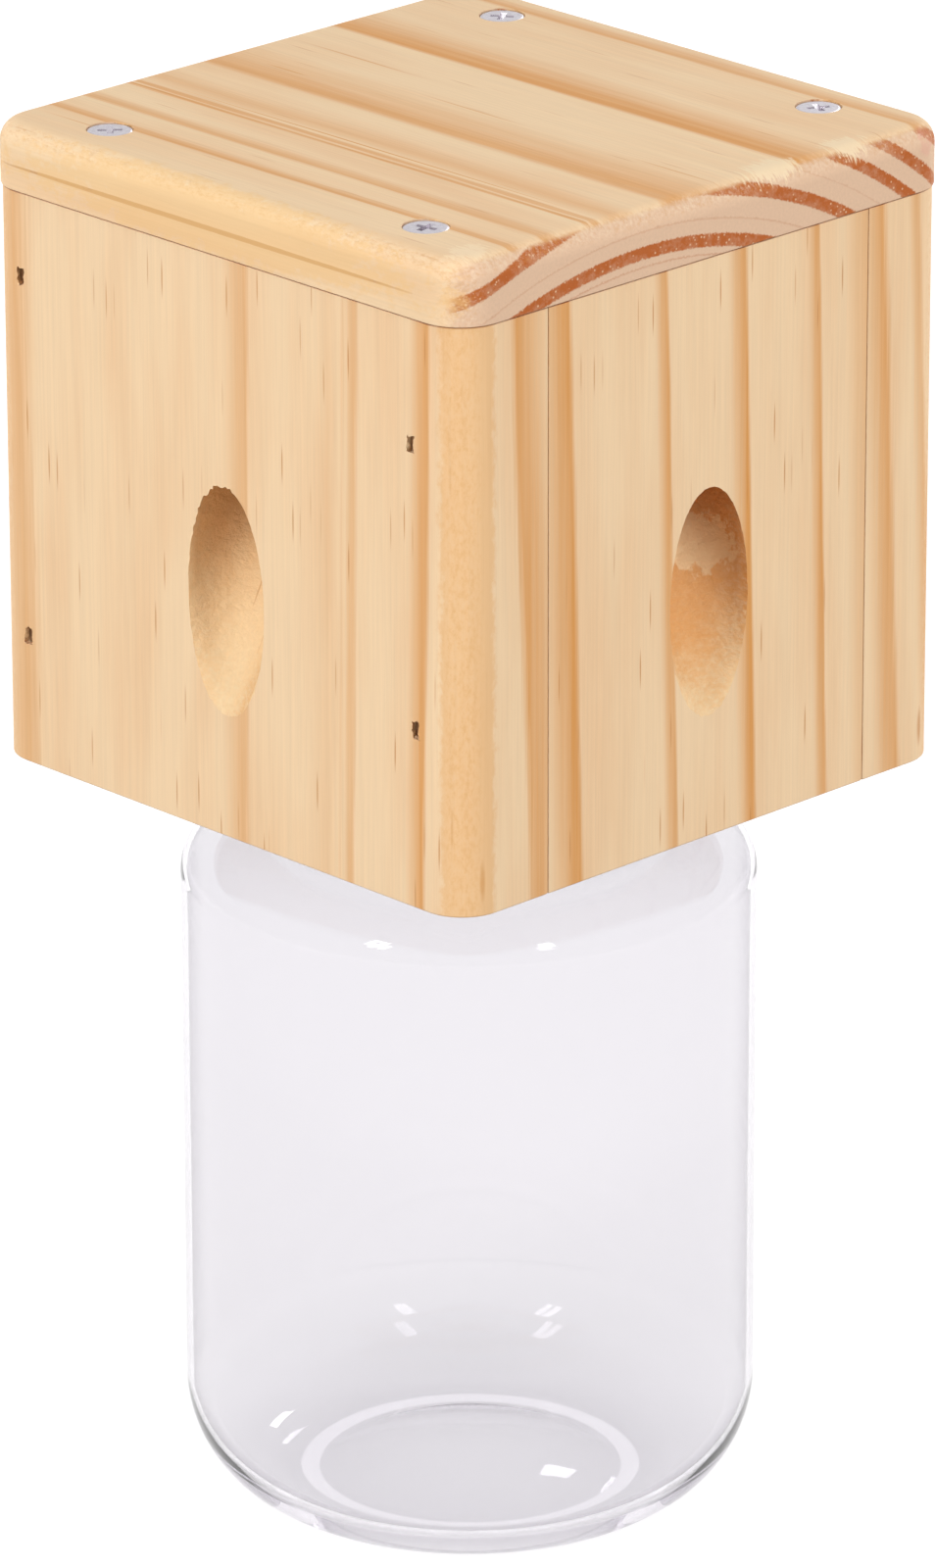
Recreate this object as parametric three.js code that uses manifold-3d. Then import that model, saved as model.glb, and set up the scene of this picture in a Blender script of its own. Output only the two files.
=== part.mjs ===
// Carpenter bee trap: a pine box with four entry holes bored steeply upwards through its walls,
// a screwed-on roof board, and a clear jar that screws up into a cap fixed under the box's floor.
//
// Millimetres, +Z up. The origin is on the surface that the jar stands on, under the jar's axis.
// The front wall faces -Y and the right wall faces +X.

import * as THREE from 'three';
import { mergeVertices } from 'three/addons/utils/BufferGeometryUtils.js';
import Module from 'manifold-3d';

const wasm = await Module();
wasm.setup();

// Clearances and cutting allowances
const SEAT = 0.15;
const HOLE_CLEARANCE = 0.25;
const CUT_OVERRUN = 1;
const WELD_DISTANCE = 0.0001;

// Facets around a full turn
const JAR_STEPS = 40;
const BORE_STEPS = 32;
const SCREW_STEPS = 16;
const ARC_STEPS = 7;
const ROUNDOVER_STEPS = 5;

// Jar, blown in clear plastic with a thick base
const JAR_DIAMETER = 90;
const JAR_WALL = 1.1;
const SHOULDER_START = 104;
const SHOULDER_RISE = 9.2;
const HEEL_WIDTH = 18;
const HEEL_HEIGHT = 19;
const STANDING_RING_WIDTH = 3;
const PUSH_UP = 2.8;
const FLOOR_RING_WIDTH = 1;
const FLOOR_RING_HEIGHT = 4.2;
const FLOOR_DOME = 0.8;

// Neck finish and its thread
const NECK_DIAMETER = 59.8;
const NECK_WALL = 1.8;
const THREAD_LEAD = 4.2;
const THREAD_TURN_DEG = 400;
const THREAD_HEIGHT = 1.3;
const THREAD_ROOT_WIDTH = 1.6;
const THREAD_CREST_WIDTH = 0.8;
const THREAD_FLANK_CLEARANCE = 0.3;
const THREAD_CREST_CLEARANCE = 0.4;
const THREAD_TOP_LAND = 3.8;
const THREAD_RUNOUT_SHARE = 0.08;
const THREAD_STEPS = 36;

// Cap and the foam ring inside it
const CAP_HEIGHT = 16;
const CAP_PLATE = 1.6;
const CAP_SKIRT = 1.6;
const CAP_EDGE = 0.8;
const CAP_SHOULDER_GAP = 1;
const LINER_THICKNESS = 1.2;
const LINER_OVERLAP = 1.3;
const DROP_HOLE_DIAMETER = 39;

// Box boards
const WALL_THICKNESS = 18;
const WALL_HEIGHT = 92.3;
const CORNER_RADIUS = 7;
const CAP_ROOM = 0.8;
const FLOOR_RECESS = 7.2;
const FLOOR_THICKNESS = 12;
const ROOF_THICKNESS = 10.2;
const ROOF_OVERHANG = 0.3;
const ROOF_ROUNDOVER = 3.5;

// Entry holes, one through each wall
const ENTRY_DIAMETER = 16.6;
const ENTRY_TILT_DEG = 62.5;
const ENTRY_ROOF_LAND = 1.6;
const FRONT_ENTRY_OFFSET = 1.3;

// Roof screws, countersunk with a cross recess
const ROOF_SCREW_HEAD_DIAMETER = 7;
const ROOF_SCREW_HEAD_RIM = 0.3;
const ROOF_SCREW_DIAMETER = 3.2;
const ROOF_SCREW_BITE = 20;
const ROOF_SCREW_POINT = 4;
const ROOF_SCREW_SINK = 0.15;
// Each place is a share of the box's half width along X, then of the wall's thickness in from its face
const ROOF_SCREW_SHARES = [
  ['front_left', -0.646, -1, 0.522],
  ['front_right', 0.665, -1, 0.556],
  ['back_left', -0.671, 1, 0.578],
  ['back_right', 0.646, 1, 0.561],
];

// Cap screws, pan-headed with a cross recess
const CAP_SCREW_COUNT = 4;
const CAP_SCREW_HEAD_DIAMETER = 5.2;
const CAP_SCREW_HEAD_HEIGHT = 1.7;
const CAP_SCREW_HEAD_EDGE = 0.5;
const CAP_SCREW_DIAMETER = 2.7;
const CAP_SCREW_POINT = 2.5;
const CAP_SCREW_BITE_SHARE = 0.66;

// Cross recess of a screw, as shares of its head
const RECESS_SPAN_SHARE = 0.6;
const RECESS_WIDTH_SHARE = 0.15;
const RECESS_DEPTH_SHARE = 0.26;
const RECESS_FLOOR_SHARE = 0.2;

// Brads, driven through the front and back walls into the edges of the side walls
const BRAD_WIDTH = 1.2;
const BRAD_HEIGHT = 1;
const BRAD_HEAD_HEIGHT = 2.1;
const BRAD_HEAD_LENGTH = 1;
const BRAD_BITE = 16;
const BRAD_POINT = 2.5;
const BRAD_SINK = 0.7;
// Each place is a side, then a share of the wall's thickness in from that side, then one of its height
const BRAD_SHARES = [
  ['upper_left', -1, 0.444, 0.857],
  ['lower_left', -1, 0.467, 0.226],
  ['upper_right', 1, 0.583, 0.791],
  ['lower_right', 1, 0.539, 0.307],
];

// Finishes
const PINE = { color: 0xf0d2a2, roughness: 0.72, metalness: 0 };
const ZINC = { color: 0xb9b6be, roughness: 0.32, metalness: 0.95 };
const STEEL = { color: 0x8f867c, roughness: 0.5, metalness: 0.9 };
const WHITE_PLASTIC = { color: 0xeeeeea, roughness: 0.42, metalness: 0 };
const FOAM = { color: 0xf4f2ec, roughness: 0.95, metalness: 0 };
const CLEAR_PLASTIC = { color: 0xe8e6ea, roughness: 0.05, metalness: 0, transparent: true, opacity: 0.3 };

const radians = THREE.MathUtils.degToRad;

// Radii, from the neck outwards to the box
const jarRadius = JAR_DIAMETER / 2;
const bodyInnerRadius = jarRadius - JAR_WALL;
const neckRadius = NECK_DIAMETER / 2;
const neckInnerRadius = neckRadius - NECK_WALL;
const neckCrestRadius = neckRadius + THREAD_HEIGHT;
const capInnerRadius = neckCrestRadius + THREAD_CREST_CLEARANCE;
const capCrestRadius = capInnerRadius - THREAD_HEIGHT;
const capRadius = capInnerRadius + CAP_SKIRT;
const dropHoleRadius = DROP_HOLE_DIAMETER / 2;
const capScrewCircleRadius = (dropHoleRadius + neckInnerRadius) / 2;
const cavityWidth = 2 * (capRadius + CAP_ROOM);
const boxWidth = cavityWidth + 2 * WALL_THICKNESS;
const boxHalf = boxWidth / 2;

// Heights above the surface that the jar stands on
const neckRootZ = SHOULDER_START + SHOULDER_RISE;
const capRimZ = neckRootZ + CAP_SHOULDER_GAP;
const capTopZ = capRimZ + CAP_HEIGHT;
const capPlateZ = capTopZ - CAP_PLATE;
const linerZ = capPlateZ - SEAT - LINER_THICKNESS;
const neckRimZ = linerZ - SEAT;
const jarRidgeZ = neckRimZ - THREAD_TOP_LAND - THREAD_LEAD * THREAD_TURN_DEG / 360;
const capRidgeZ = jarRidgeZ - THREAD_ROOT_WIDTH - THREAD_FLANK_CLEARANCE;
const boxZ = capTopZ + SEAT - FLOOR_RECESS;

// Heights above the underside of the walls
const floorTop = FLOOR_RECESS + FLOOR_THICKNESS;
const roofUnderside = WALL_HEIGHT + SEAT;
const roofTop = roofUnderside + ROOF_THICKNESS;

// Screw and brad lengths follow the boards that they join
const roofScrewLength = ROOF_THICKNESS + ROOF_SCREW_BITE;
const capScrewLength = CAP_PLATE + SEAT + FLOOR_THICKNESS * CAP_SCREW_BITE_SHARE;
const bradLength = WALL_THICKNESS + BRAD_BITE;

// Shared shape helpers

/** A closed solid from a geometry: shared corners are merged, and faces collapsed on an axis are dropped. */
function solidOf(geometry) {
  const bare = geometry.clone();
  bare.deleteAttribute('normal');
  bare.deleteAttribute('uv');
  const merged = mergeVertices(bare, WELD_DISTANCE);
  const corners = merged.index.array;
  const triVerts = [];
  for (let i = 0; i < corners.length; i += 3) {
    const [a, b, c] = corners.slice(i, i + 3);
    if (a !== b && b !== c && c !== a) {
      triVerts.push(a, b, c);
    }
  }
  return new wasm.Manifold(new wasm.Mesh({
    numProp: 3,
    vertProperties: Float32Array.from(merged.attributes.position.array),
    triVerts: Uint32Array.from(triVerts),
  }));
}

/** A named mesh of a solid, with a material of its own. */
function meshOf(name, solid, finish) {
  const { vertProperties, triVerts } = solid.getMesh();
  const geometry = new THREE.BufferGeometry();
  geometry.setAttribute('position', new THREE.BufferAttribute(vertProperties, 3));
  geometry.setIndex(new THREE.BufferAttribute(triVerts, 1));
  geometry.computeVertexNormals();
  const mesh = new THREE.Mesh(geometry, new THREE.MeshStandardMaterial(finish));
  mesh.name = name;
  return mesh;
}

/** The geometry that an outline of [radius, height] points sweeps around Z. */
function revolved(outline, steps) {
  const points = outline.map(([radius, height]) => new THREE.Vector2(radius, height));
  return new THREE.LatheGeometry(points, steps).rotateX(Math.PI / 2);
}

/** A box from its width, depth and height, standing on Z = 0 about the Z axis. */
function block(width, depth, height) {
  return new THREE.BoxGeometry(width, depth, height).translate(0, 0, height / 2);
}

/** Points on an elliptical arc about a centre, from one angle in degrees to another. */
function arc(centreX, centreY, width, height, fromDeg, toDeg, steps = ARC_STEPS) {
  return Array.from({ length: steps + 1 }, (_, i) => {
    const angle = radians(fromDeg + (toDeg - fromDeg) * i / steps);
    return [centreX + width * Math.cos(angle), centreY + height * Math.sin(angle)];
  });
}

/** Points on a shallow dome over a base height, from its centre out to its rim. */
function dome(rimRadius, baseHeight, rise, steps = ARC_STEPS) {
  return Array.from({ length: steps + 1 }, (_, i) => {
    const share = i / steps;
    return [rimRadius * share, baseHeight + rise * (1 - share * share)];
  });
}

/** A rectangle centred on the origin, with a corner radius at its front corners and one at its back. */
function roundedRectangle(width, depth, frontRadius, backRadius = frontRadius) {
  const corners = [
    [1, -1, frontRadius, -90],
    [1, 1, backRadius, 0],
    [-1, 1, backRadius, 90],
    [-1, -1, frontRadius, 180],
  ];
  const points = corners.flatMap(([sideX, sideY, radius, startDeg]) => {
    const centreX = sideX * (width / 2 - radius);
    const centreY = sideY * (depth / 2 - radius);
    return radius > 0
      ? arc(centreX, centreY, radius, radius, startDeg, startDeg + 90, ROUNDOVER_STEPS)
      : [[centreX, centreY]];
  });
  return new THREE.Shape(points.map(([x, y]) => new THREE.Vector2(x, y)));
}

/** The solid less a hole for each fastener, where the solid's own frame has a place in theirs. */
function drilled(solid, place, fasteners, holeGeometry) {
  const toSolid = place.clone().invert();
  return fasteners.reduce((rest, fastener) => {
    fastener.updateMatrix();
    const hole = holeGeometry.clone().applyMatrix4(fastener.matrix).applyMatrix4(toSolid);
    return rest.subtract(solidOf(hole));
  }, solid);
}

// Threads

/** A right-hand helical ridge that stands from a root radius to a crest radius, its ends run out. */
function threadRidge(rootRadius, crestRadius, startZ) {
  const outward = Math.sign(crestRadius - rootRadius);
  const sunkRadius = rootRadius - outward * NECK_WALL / 4;
  const positions = [];
  for (let step = 0; step <= THREAD_STEPS; step += 1) {
    const share = step / THREAD_STEPS;
    const angle = radians(THREAD_TURN_DEG * share);
    const runout = Math.min(1, share / THREAD_RUNOUT_SHARE, (1 - share) / THREAD_RUNOUT_SHARE);
    const crest = rootRadius + (crestRadius - rootRadius) * runout;
    const centreZ = startZ + THREAD_LEAD * angle / (2 * Math.PI);
    const section = [
      [sunkRadius, -THREAD_ROOT_WIDTH / 2],
      [crest, -THREAD_CREST_WIDTH / 2],
      [crest, THREAD_CREST_WIDTH / 2],
      [sunkRadius, THREAD_ROOT_WIDTH / 2],
    ];
    for (const [radius, rise] of outward > 0 ? section : section.reverse()) {
      positions.push(radius * Math.cos(angle), radius * Math.sin(angle), centreZ + rise);
    }
  }
  const index = [0, 1, 2, 0, 2, 3];
  const sides = 4;
  for (let step = 0; step < THREAD_STEPS; step += 1) {
    for (let side = 0; side < sides; side += 1) {
      const here = step * sides + side;
      const beside = step * sides + (side + 1) % sides;
      index.push(here, here + sides, beside + sides, here, beside + sides, beside);
    }
  }
  const last = THREAD_STEPS * sides;
  index.push(last, last + 2, last + 1, last, last + 3, last + 2);
  const geometry = new THREE.BufferGeometry();
  geometry.setAttribute('position', new THREE.Float32BufferAttribute(positions, 3));
  geometry.setIndex(index);
  return solidOf(geometry);
}

// Screws: the head's top is at the origin, and the shank points down -Z

/** Outline of a countersunk screw, or of the hole that it fits when grown by a clearance. */
function countersunkOutline(clearance) {
  const head = ROOF_SCREW_HEAD_DIAMETER / 2 + clearance;
  const shank = ROOF_SCREW_DIAMETER / 2 + clearance;
  const top = clearance > 0 ? CUT_OVERRUN : 0;
  return [
    [0, -roofScrewLength - clearance],
    [shank, ROOF_SCREW_POINT - roofScrewLength - clearance],
    [shank, shank - head - ROOF_SCREW_HEAD_RIM],
    [head, -ROOF_SCREW_HEAD_RIM],
    [head, top],
    [0, top],
  ];
}

/** Outline of a pan-headed screw, whose head seats at Z = 0. */
function panHeadOutline() {
  const head = CAP_SCREW_HEAD_DIAMETER / 2;
  const shank = CAP_SCREW_DIAMETER / 2;
  return [
    [0, -capScrewLength],
    [shank, CAP_SCREW_POINT - capScrewLength],
    [shank, 0],
    [head, 0],
    [head, CAP_SCREW_HEAD_HEIGHT - CAP_SCREW_HEAD_EDGE],
    [head - CAP_SCREW_HEAD_EDGE, CAP_SCREW_HEAD_HEIGHT],
    [0, CAP_SCREW_HEAD_HEIGHT],
  ];
}

/** Outline of the hole for a pan-headed screw's shank. */
function shankHoleOutline() {
  const shank = CAP_SCREW_DIAMETER / 2 + HOLE_CLEARANCE;
  return [
    [0, -capScrewLength - HOLE_CLEARANCE],
    [shank, CAP_SCREW_POINT - capScrewLength - HOLE_CLEARANCE],
    [shank, CUT_OVERRUN],
    [0, CUT_OVERRUN],
  ];
}

/** A tapered cross cut down from a screw's top. */
function crossRecess(headDiameter, topZ) {
  const span = headDiameter * RECESS_SPAN_SHARE;
  const width = headDiameter * RECESS_WIDTH_SHARE;
  const depth = headDiameter * RECESS_DEPTH_SHARE;
  const cross = solidOf(block(span, width, depth + CUT_OVERRUN))
    .add(solidOf(block(width, span, depth + CUT_OVERRUN)));
  const cone = solidOf(revolved([
    [0, 0],
    [span * RECESS_FLOOR_SHARE, 0],
    [span / 2, depth],
    [span / 2, depth + CUT_OVERRUN],
    [0, depth + CUT_OVERRUN],
  ], SCREW_STEPS));
  return { solid: cross.intersect(cone), place: new THREE.Matrix4().makeTranslation(0, 0, topZ - depth) };
}

/** The solid of a screw from its outline, with its cross recess cut at the top of the head. */
function screwSolid(outline, headDiameter, topZ) {
  const recess = crossRecess(headDiameter, topZ);
  const cutter = meshOf('recess', recess.solid, ZINC).geometry.applyMatrix4(recess.place);
  return solidOf(revolved(outline, SCREW_STEPS)).subtract(solidOf(cutter));
}

/** The four roof screws, placed in the box. */
function buildRoofScrews() {
  const solid = screwSolid(countersunkOutline(0), ROOF_SCREW_HEAD_DIAMETER, 0);
  return ROOF_SCREW_SHARES.map(([place, xShare, side, insetShare]) => {
    const screw = meshOf(`roof_screw_${place}`, solid, ZINC);
    screw.position.set(
      boxHalf * xShare,
      side * (boxHalf - WALL_THICKNESS * insetShare),
      roofTop - ROOF_SCREW_SINK,
    );
    return screw;
  });
}

/** The screws that hold the cap up against the floor board, placed in the box with their heads down. */
function buildCapScrews() {
  const solid = screwSolid(panHeadOutline(), CAP_SCREW_HEAD_DIAMETER, CAP_SCREW_HEAD_HEIGHT);
  return Array.from({ length: CAP_SCREW_COUNT }, (_, i) => {
    const angle = 2 * Math.PI * i / CAP_SCREW_COUNT;
    const screw = meshOf(`cap_screw_${i + 1}`, solid, ZINC);
    screw.position.set(
      capScrewCircleRadius * Math.cos(angle),
      capScrewCircleRadius * Math.sin(angle),
      capPlateZ - boxZ - SEAT,
    );
    screw.rotation.x = Math.PI;
    return screw;
  });
}

// Brads: the head's outer end is at the origin, and the point is along +Y

/** A brad, or the hole that it fits when grown by a clearance. */
function bradGeometry(clearance) {
  const headHalf = BRAD_HEAD_HEIGHT / 2 + clearance;
  const shankHalf = BRAD_HEIGHT / 2 + clearance;
  const start = clearance > 0 ? -BRAD_SINK - CUT_OVERRUN : 0;
  const neck = BRAD_HEAD_LENGTH + clearance;
  const end = bradLength + clearance;
  const outline = [
    [start, -headHalf],
    [neck, -headHalf],
    [neck, -shankHalf],
    [end - BRAD_POINT, -shankHalf],
    [end, 0],
    [end - BRAD_POINT, shankHalf],
    [neck, shankHalf],
    [neck, headHalf],
    [start, headHalf],
  ];
  const shape = new THREE.Shape(outline.map(([along, up]) => new THREE.Vector2(along, up)));
  const width = BRAD_WIDTH + 2 * clearance;
  const turn = new THREE.Matrix4().makeBasis(
    new THREE.Vector3(0, 1, 0),
    new THREE.Vector3(0, 0, 1),
    new THREE.Vector3(1, 0, 0),
  );
  return new THREE.ExtrudeGeometry(shape, { depth: width, bevelEnabled: false })
    .translate(0, 0, -width / 2)
    .applyMatrix4(turn);
}

/** The four brads of the front wall, or of the back wall with a half turn, placed in the box. */
function buildBrads(wallName, turn) {
  const solid = solidOf(bradGeometry(0));
  return BRAD_SHARES.map(([place, side, insetShare, heightShare]) => {
    const brad = meshOf(`${wallName}_brad_${place}`, solid, STEEL);
    brad.position.set(
      side * (boxHalf - WALL_THICKNESS * insetShare),
      BRAD_SINK - boxHalf,
      WALL_HEIGHT * heightShare,
    );
    brad.position.applyAxisAngle(new THREE.Vector3(0, 0, 1), turn);
    brad.rotation.z = turn;
    return brad;
  });
}

// Box boards, each in the frame of a wall that faces -Y

/** The slanted cutter of an entry hole, rising inwards through a wall. */
function entryCutter(offset) {
  const tilt = radians(ENTRY_TILT_DEG);
  const radius = ENTRY_DIAMETER / 2;
  const mouthHalf = radius / Math.cos(tilt);
  const rise = WALL_THICKNESS * Math.tan(tilt);
  const innerMouthZ = WALL_HEIGHT - ENTRY_ROOF_LAND - mouthHalf;
  const reach = WALL_THICKNESS / (2 * Math.cos(tilt)) + radius * Math.tan(tilt) + CUT_OVERRUN;
  return new THREE.CylinderGeometry(radius, radius, 2 * reach, BORE_STEPS)
    .rotateX(tilt)
    .translate(offset, (WALL_THICKNESS - boxWidth) / 2, innerMouthZ - rise / 2);
}

/** A wall with its entry hole and its fasteners' holes, turned to face its own way. */
function buildWall({ name, turn, width, radius, offset, screws, brads }) {
  const board = roundedRectangle(width, WALL_THICKNESS, radius, 0);
  const place = new THREE.Matrix4().makeRotationZ(turn);
  let solid = solidOf(new THREE.ExtrudeGeometry(board, {
    depth: WALL_HEIGHT,
    bevelEnabled: false,
  }).translate(0, (WALL_THICKNESS - boxWidth) / 2, 0));
  solid = solid.subtract(solidOf(entryCutter(offset)));
  solid = drilled(solid, place, screws, revolved(countersunkOutline(HOLE_CLEARANCE), SCREW_STEPS));
  solid = drilled(solid, place, brads, bradGeometry(HOLE_CLEARANCE));
  const wall = meshOf(name, solid, PINE);
  wall.rotation.z = turn;
  return wall;
}

/** The roof board: rounded at its corners and over its top edges, with the screws' countersinks. */
function buildRoof(screws) {
  const width = boxWidth + 2 * ROOF_OVERHANG;
  const outline = roundedRectangle(width, width, CORNER_RADIUS + ROOF_OVERHANG);
  const straight = ROOF_THICKNESS - ROOF_ROUNDOVER;
  const rounded = solidOf(new THREE.ExtrudeGeometry(outline, {
    depth: straight + ROOF_ROUNDOVER,
    bevelSize: ROOF_ROUNDOVER,
    bevelOffset: -ROOF_ROUNDOVER,
    bevelThickness: ROOF_ROUNDOVER,
    bevelSegments: ROUNDOVER_STEPS,
  }).translate(0, 0, -ROOF_ROUNDOVER));
  const belowBoard = block(2 * width, 2 * width, width).translate(0, 0, -width);
  const board = rounded.subtract(solidOf(belowBoard));
  const place = new THREE.Matrix4().makeTranslation(0, 0, roofUnderside);
  const holes = revolved(countersunkOutline(HOLE_CLEARANCE), SCREW_STEPS);
  const roof = meshOf('roof_board', drilled(board, place, screws, holes), PINE);
  roof.position.z = roofUnderside;
  return roof;
}

/** The floor board, fitted between the walls, with the drop hole and the cap screws' pilot holes. */
function buildFloor(screws) {
  const width = cavityWidth - 2 * SEAT;
  const dropHole = new THREE.CylinderGeometry(dropHoleRadius, dropHoleRadius, 2 * floorTop, JAR_STEPS)
    .rotateX(Math.PI / 2);
  const board = solidOf(block(width, width, FLOOR_THICKNESS)).subtract(solidOf(dropHole));
  const place = new THREE.Matrix4().makeTranslation(0, 0, FLOOR_RECESS);
  const holes = revolved(shankHoleOutline(), SCREW_STEPS);
  const floor = meshOf('floor_board', drilled(board, place, screws, holes), PINE);
  floor.position.z = FLOOR_RECESS;
  return floor;
}

// Cap, liner and jar, revolved about the axis that they share

/** The threaded cap, open through its plate, with holes for the screws that hold it up. */
function buildCap(screws) {
  const outline = [
    [dropHoleRadius, CAP_HEIGHT - CAP_PLATE],
    [capInnerRadius, CAP_HEIGHT - CAP_PLATE],
    [capInnerRadius, 0],
    [capRadius, 0],
    [capRadius, CAP_HEIGHT - CAP_EDGE],
    [capRadius - CAP_EDGE, CAP_HEIGHT],
    [dropHoleRadius, CAP_HEIGHT],
    [dropHoleRadius, CAP_HEIGHT - CAP_PLATE],
  ];
  const ridge = threadRidge(capInnerRadius, capCrestRadius, capRidgeZ - capRimZ);
  const shell = solidOf(revolved(outline, JAR_STEPS)).add(ridge);
  const place = new THREE.Matrix4().makeTranslation(0, 0, capRimZ - boxZ);
  const holes = revolved(shankHoleOutline(), SCREW_STEPS);
  const cap = meshOf('jar_cap', drilled(shell, place, screws, holes), WHITE_PLASTIC);
  cap.position.z = capRimZ - boxZ;
  return cap;
}

/** The foam ring between the cap's plate and the jar's rim. */
function buildLiner() {
  const outer = capCrestRadius - THREAD_FLANK_CLEARANCE;
  const inner = neckInnerRadius - LINER_OVERLAP;
  const liner = meshOf('cap_liner', solidOf(revolved([
    [inner, 0],
    [outer, 0],
    [outer, LINER_THICKNESS],
    [inner, LINER_THICKNESS],
    [inner, 0],
  ], JAR_STEPS)), FOAM);
  liner.position.z = linerZ;
  return liner;
}

/** The jar: a pushed-up base, a round heel, a straight body, a round shoulder and a threaded neck. */
function buildJar() {
  const heelRadius = jarRadius - HEEL_WIDTH;
  const floorRingRadius = heelRadius + FLOOR_RING_WIDTH;
  const outside = [
    ...dome(heelRadius - STANDING_RING_WIDTH, 0, PUSH_UP),
    ...arc(heelRadius, HEEL_HEIGHT, HEEL_WIDTH, HEEL_HEIGHT, -90, 0),
    ...arc(neckRadius, SHOULDER_START, jarRadius - neckRadius, SHOULDER_RISE, 0, 90),
    [neckRadius, neckRimZ],
  ];
  const inside = [
    ...dome(floorRingRadius, FLOOR_RING_HEIGHT, FLOOR_DOME),
    ...arc(floorRingRadius, HEEL_HEIGHT, bodyInnerRadius - floorRingRadius, HEEL_HEIGHT - FLOOR_RING_HEIGHT, -90, 0),
    ...arc(neckInnerRadius, SHOULDER_START, bodyInnerRadius - neckInnerRadius, SHOULDER_RISE - JAR_WALL, 0, 90),
    [neckInnerRadius, neckRimZ],
  ];
  const shell = solidOf(revolved([...outside, ...inside.reverse()], JAR_STEPS));
  return meshOf('jar', shell.add(threadRidge(neckRadius, neckCrestRadius, jarRidgeZ)), CLEAR_PLASTIC);
}

// Assembly

/** The box with everything that is fixed to it. */
function buildBox() {
  const roofScrews = buildRoofScrews();
  const capScrews = buildCapScrews();
  const brads = [...buildBrads('front', 0), ...buildBrads('back', Math.PI)];
  const fullWidth = { width: boxWidth, radius: CORNER_RADIUS, screws: roofScrews, brads };
  const betweenWalls = { width: cavityWidth - 2 * SEAT, radius: 0, offset: 0, screws: [], brads };
  const box = new THREE.Group();
  box.add(
    buildWall({ name: 'front_wall', turn: 0, offset: FRONT_ENTRY_OFFSET, ...fullWidth }),
    buildWall({ name: 'back_wall', turn: Math.PI, offset: 0, ...fullWidth }),
    buildWall({ name: 'right_wall', turn: Math.PI / 2, ...betweenWalls }),
    buildWall({ name: 'left_wall', turn: -Math.PI / 2, ...betweenWalls }),
    buildRoof(roofScrews),
    buildFloor(capScrews),
    buildCap(capScrews),
    ...roofScrews,
    ...capScrews,
    ...brads,
  );
  box.position.z = boxZ;
  return box;
}

const trap = new THREE.Group();
trap.add(buildBox(), buildLiner(), buildJar());

export default trap;
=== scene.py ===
"""Studio scene of a carpenter bee trap: a pine box with steep entry holes over a clear screw jar.

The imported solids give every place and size. The boards, screws, cap, liner and jar are built
again here as finer meshes around those places, and the brads and cap screws are dressed as
they are. Meshes are shaped in millimetres and turned to metres as each one is finished.
"""

import logging
import math
from collections.abc import Callable, Iterable, Sequence
from dataclasses import dataclass, replace
from enum import Enum

import bmesh
import bpy
from mathutils import Matrix, Quaternion, Vector, noise


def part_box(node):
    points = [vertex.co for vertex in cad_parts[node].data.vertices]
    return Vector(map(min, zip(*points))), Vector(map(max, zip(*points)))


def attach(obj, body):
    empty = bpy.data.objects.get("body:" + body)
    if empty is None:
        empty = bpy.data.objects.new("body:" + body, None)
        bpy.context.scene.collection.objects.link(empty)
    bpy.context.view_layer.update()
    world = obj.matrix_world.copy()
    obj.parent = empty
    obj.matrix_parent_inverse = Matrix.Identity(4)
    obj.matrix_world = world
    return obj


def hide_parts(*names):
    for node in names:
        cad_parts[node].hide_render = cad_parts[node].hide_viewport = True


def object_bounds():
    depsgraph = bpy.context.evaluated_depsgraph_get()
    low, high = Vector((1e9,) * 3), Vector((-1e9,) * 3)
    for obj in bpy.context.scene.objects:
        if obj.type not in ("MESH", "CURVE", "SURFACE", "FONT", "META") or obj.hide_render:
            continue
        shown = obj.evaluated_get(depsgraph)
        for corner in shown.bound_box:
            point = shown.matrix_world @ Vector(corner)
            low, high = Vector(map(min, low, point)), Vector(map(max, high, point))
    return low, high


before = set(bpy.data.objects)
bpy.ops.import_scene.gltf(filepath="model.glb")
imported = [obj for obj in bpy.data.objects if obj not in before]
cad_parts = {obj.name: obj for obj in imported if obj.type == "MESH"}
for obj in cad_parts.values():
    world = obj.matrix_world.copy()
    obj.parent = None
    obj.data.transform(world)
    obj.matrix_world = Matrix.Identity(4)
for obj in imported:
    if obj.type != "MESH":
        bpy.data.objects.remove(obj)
CAD_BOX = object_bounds()

LOG = logging.getLogger("bee_trap")
MM = 0.001
FULL_TURN = 2 * math.pi
SHARP_ANGLE = math.radians(33)
TEAR_SEED = 7
WHITE = (1.0, 1.0, 1.0, 1.0)

# Millimetres within which a corner counts as on a face, and within which corners are joined
ON_PLANE = 0.01
WELD = 1e-3
LATHE_WELD = 1e-4

# Sides of a pilot hole, and how far round each roof screw's cross was left, in degrees
PILOT_STEPS = 24
SCREW_SPINS = (35.0, 62.0, 50.0, 12.0)

# Places of a Mix node's two colours and two numbers among its inputs
COLOUR_A, COLOUR_B = 6, 7
NUMBER_A, NUMBER_B = 2, 3

Node = bpy.types.Node
Socket = bpy.types.NodeSocket
Feed = Node | Socket
Tree = bpy.types.NodeTree
Mesh = bmesh.types.BMesh
Vert = bmesh.types.BMVert
Edge = bmesh.types.BMEdge
Outline = list[tuple[float, float]]
Trio = tuple[float, float, float]

# A range that a value is carried from and the range it is carried to
Span = tuple[float, float, float, float]


class Body(Enum):
    """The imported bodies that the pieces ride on."""

    BOX = "box"
    LINER = "liner"
    JAR = "jar"


class Slot(Enum):
    """Names of the material slots, which nothing in this script uses."""

    PINE = "pine"
    ZINC = "zinc"
    CAP_PLASTIC = "cap_plastic"
    FOAM = "foam"
    CLEAR_PLASTIC = "clear_plastic"


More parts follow.
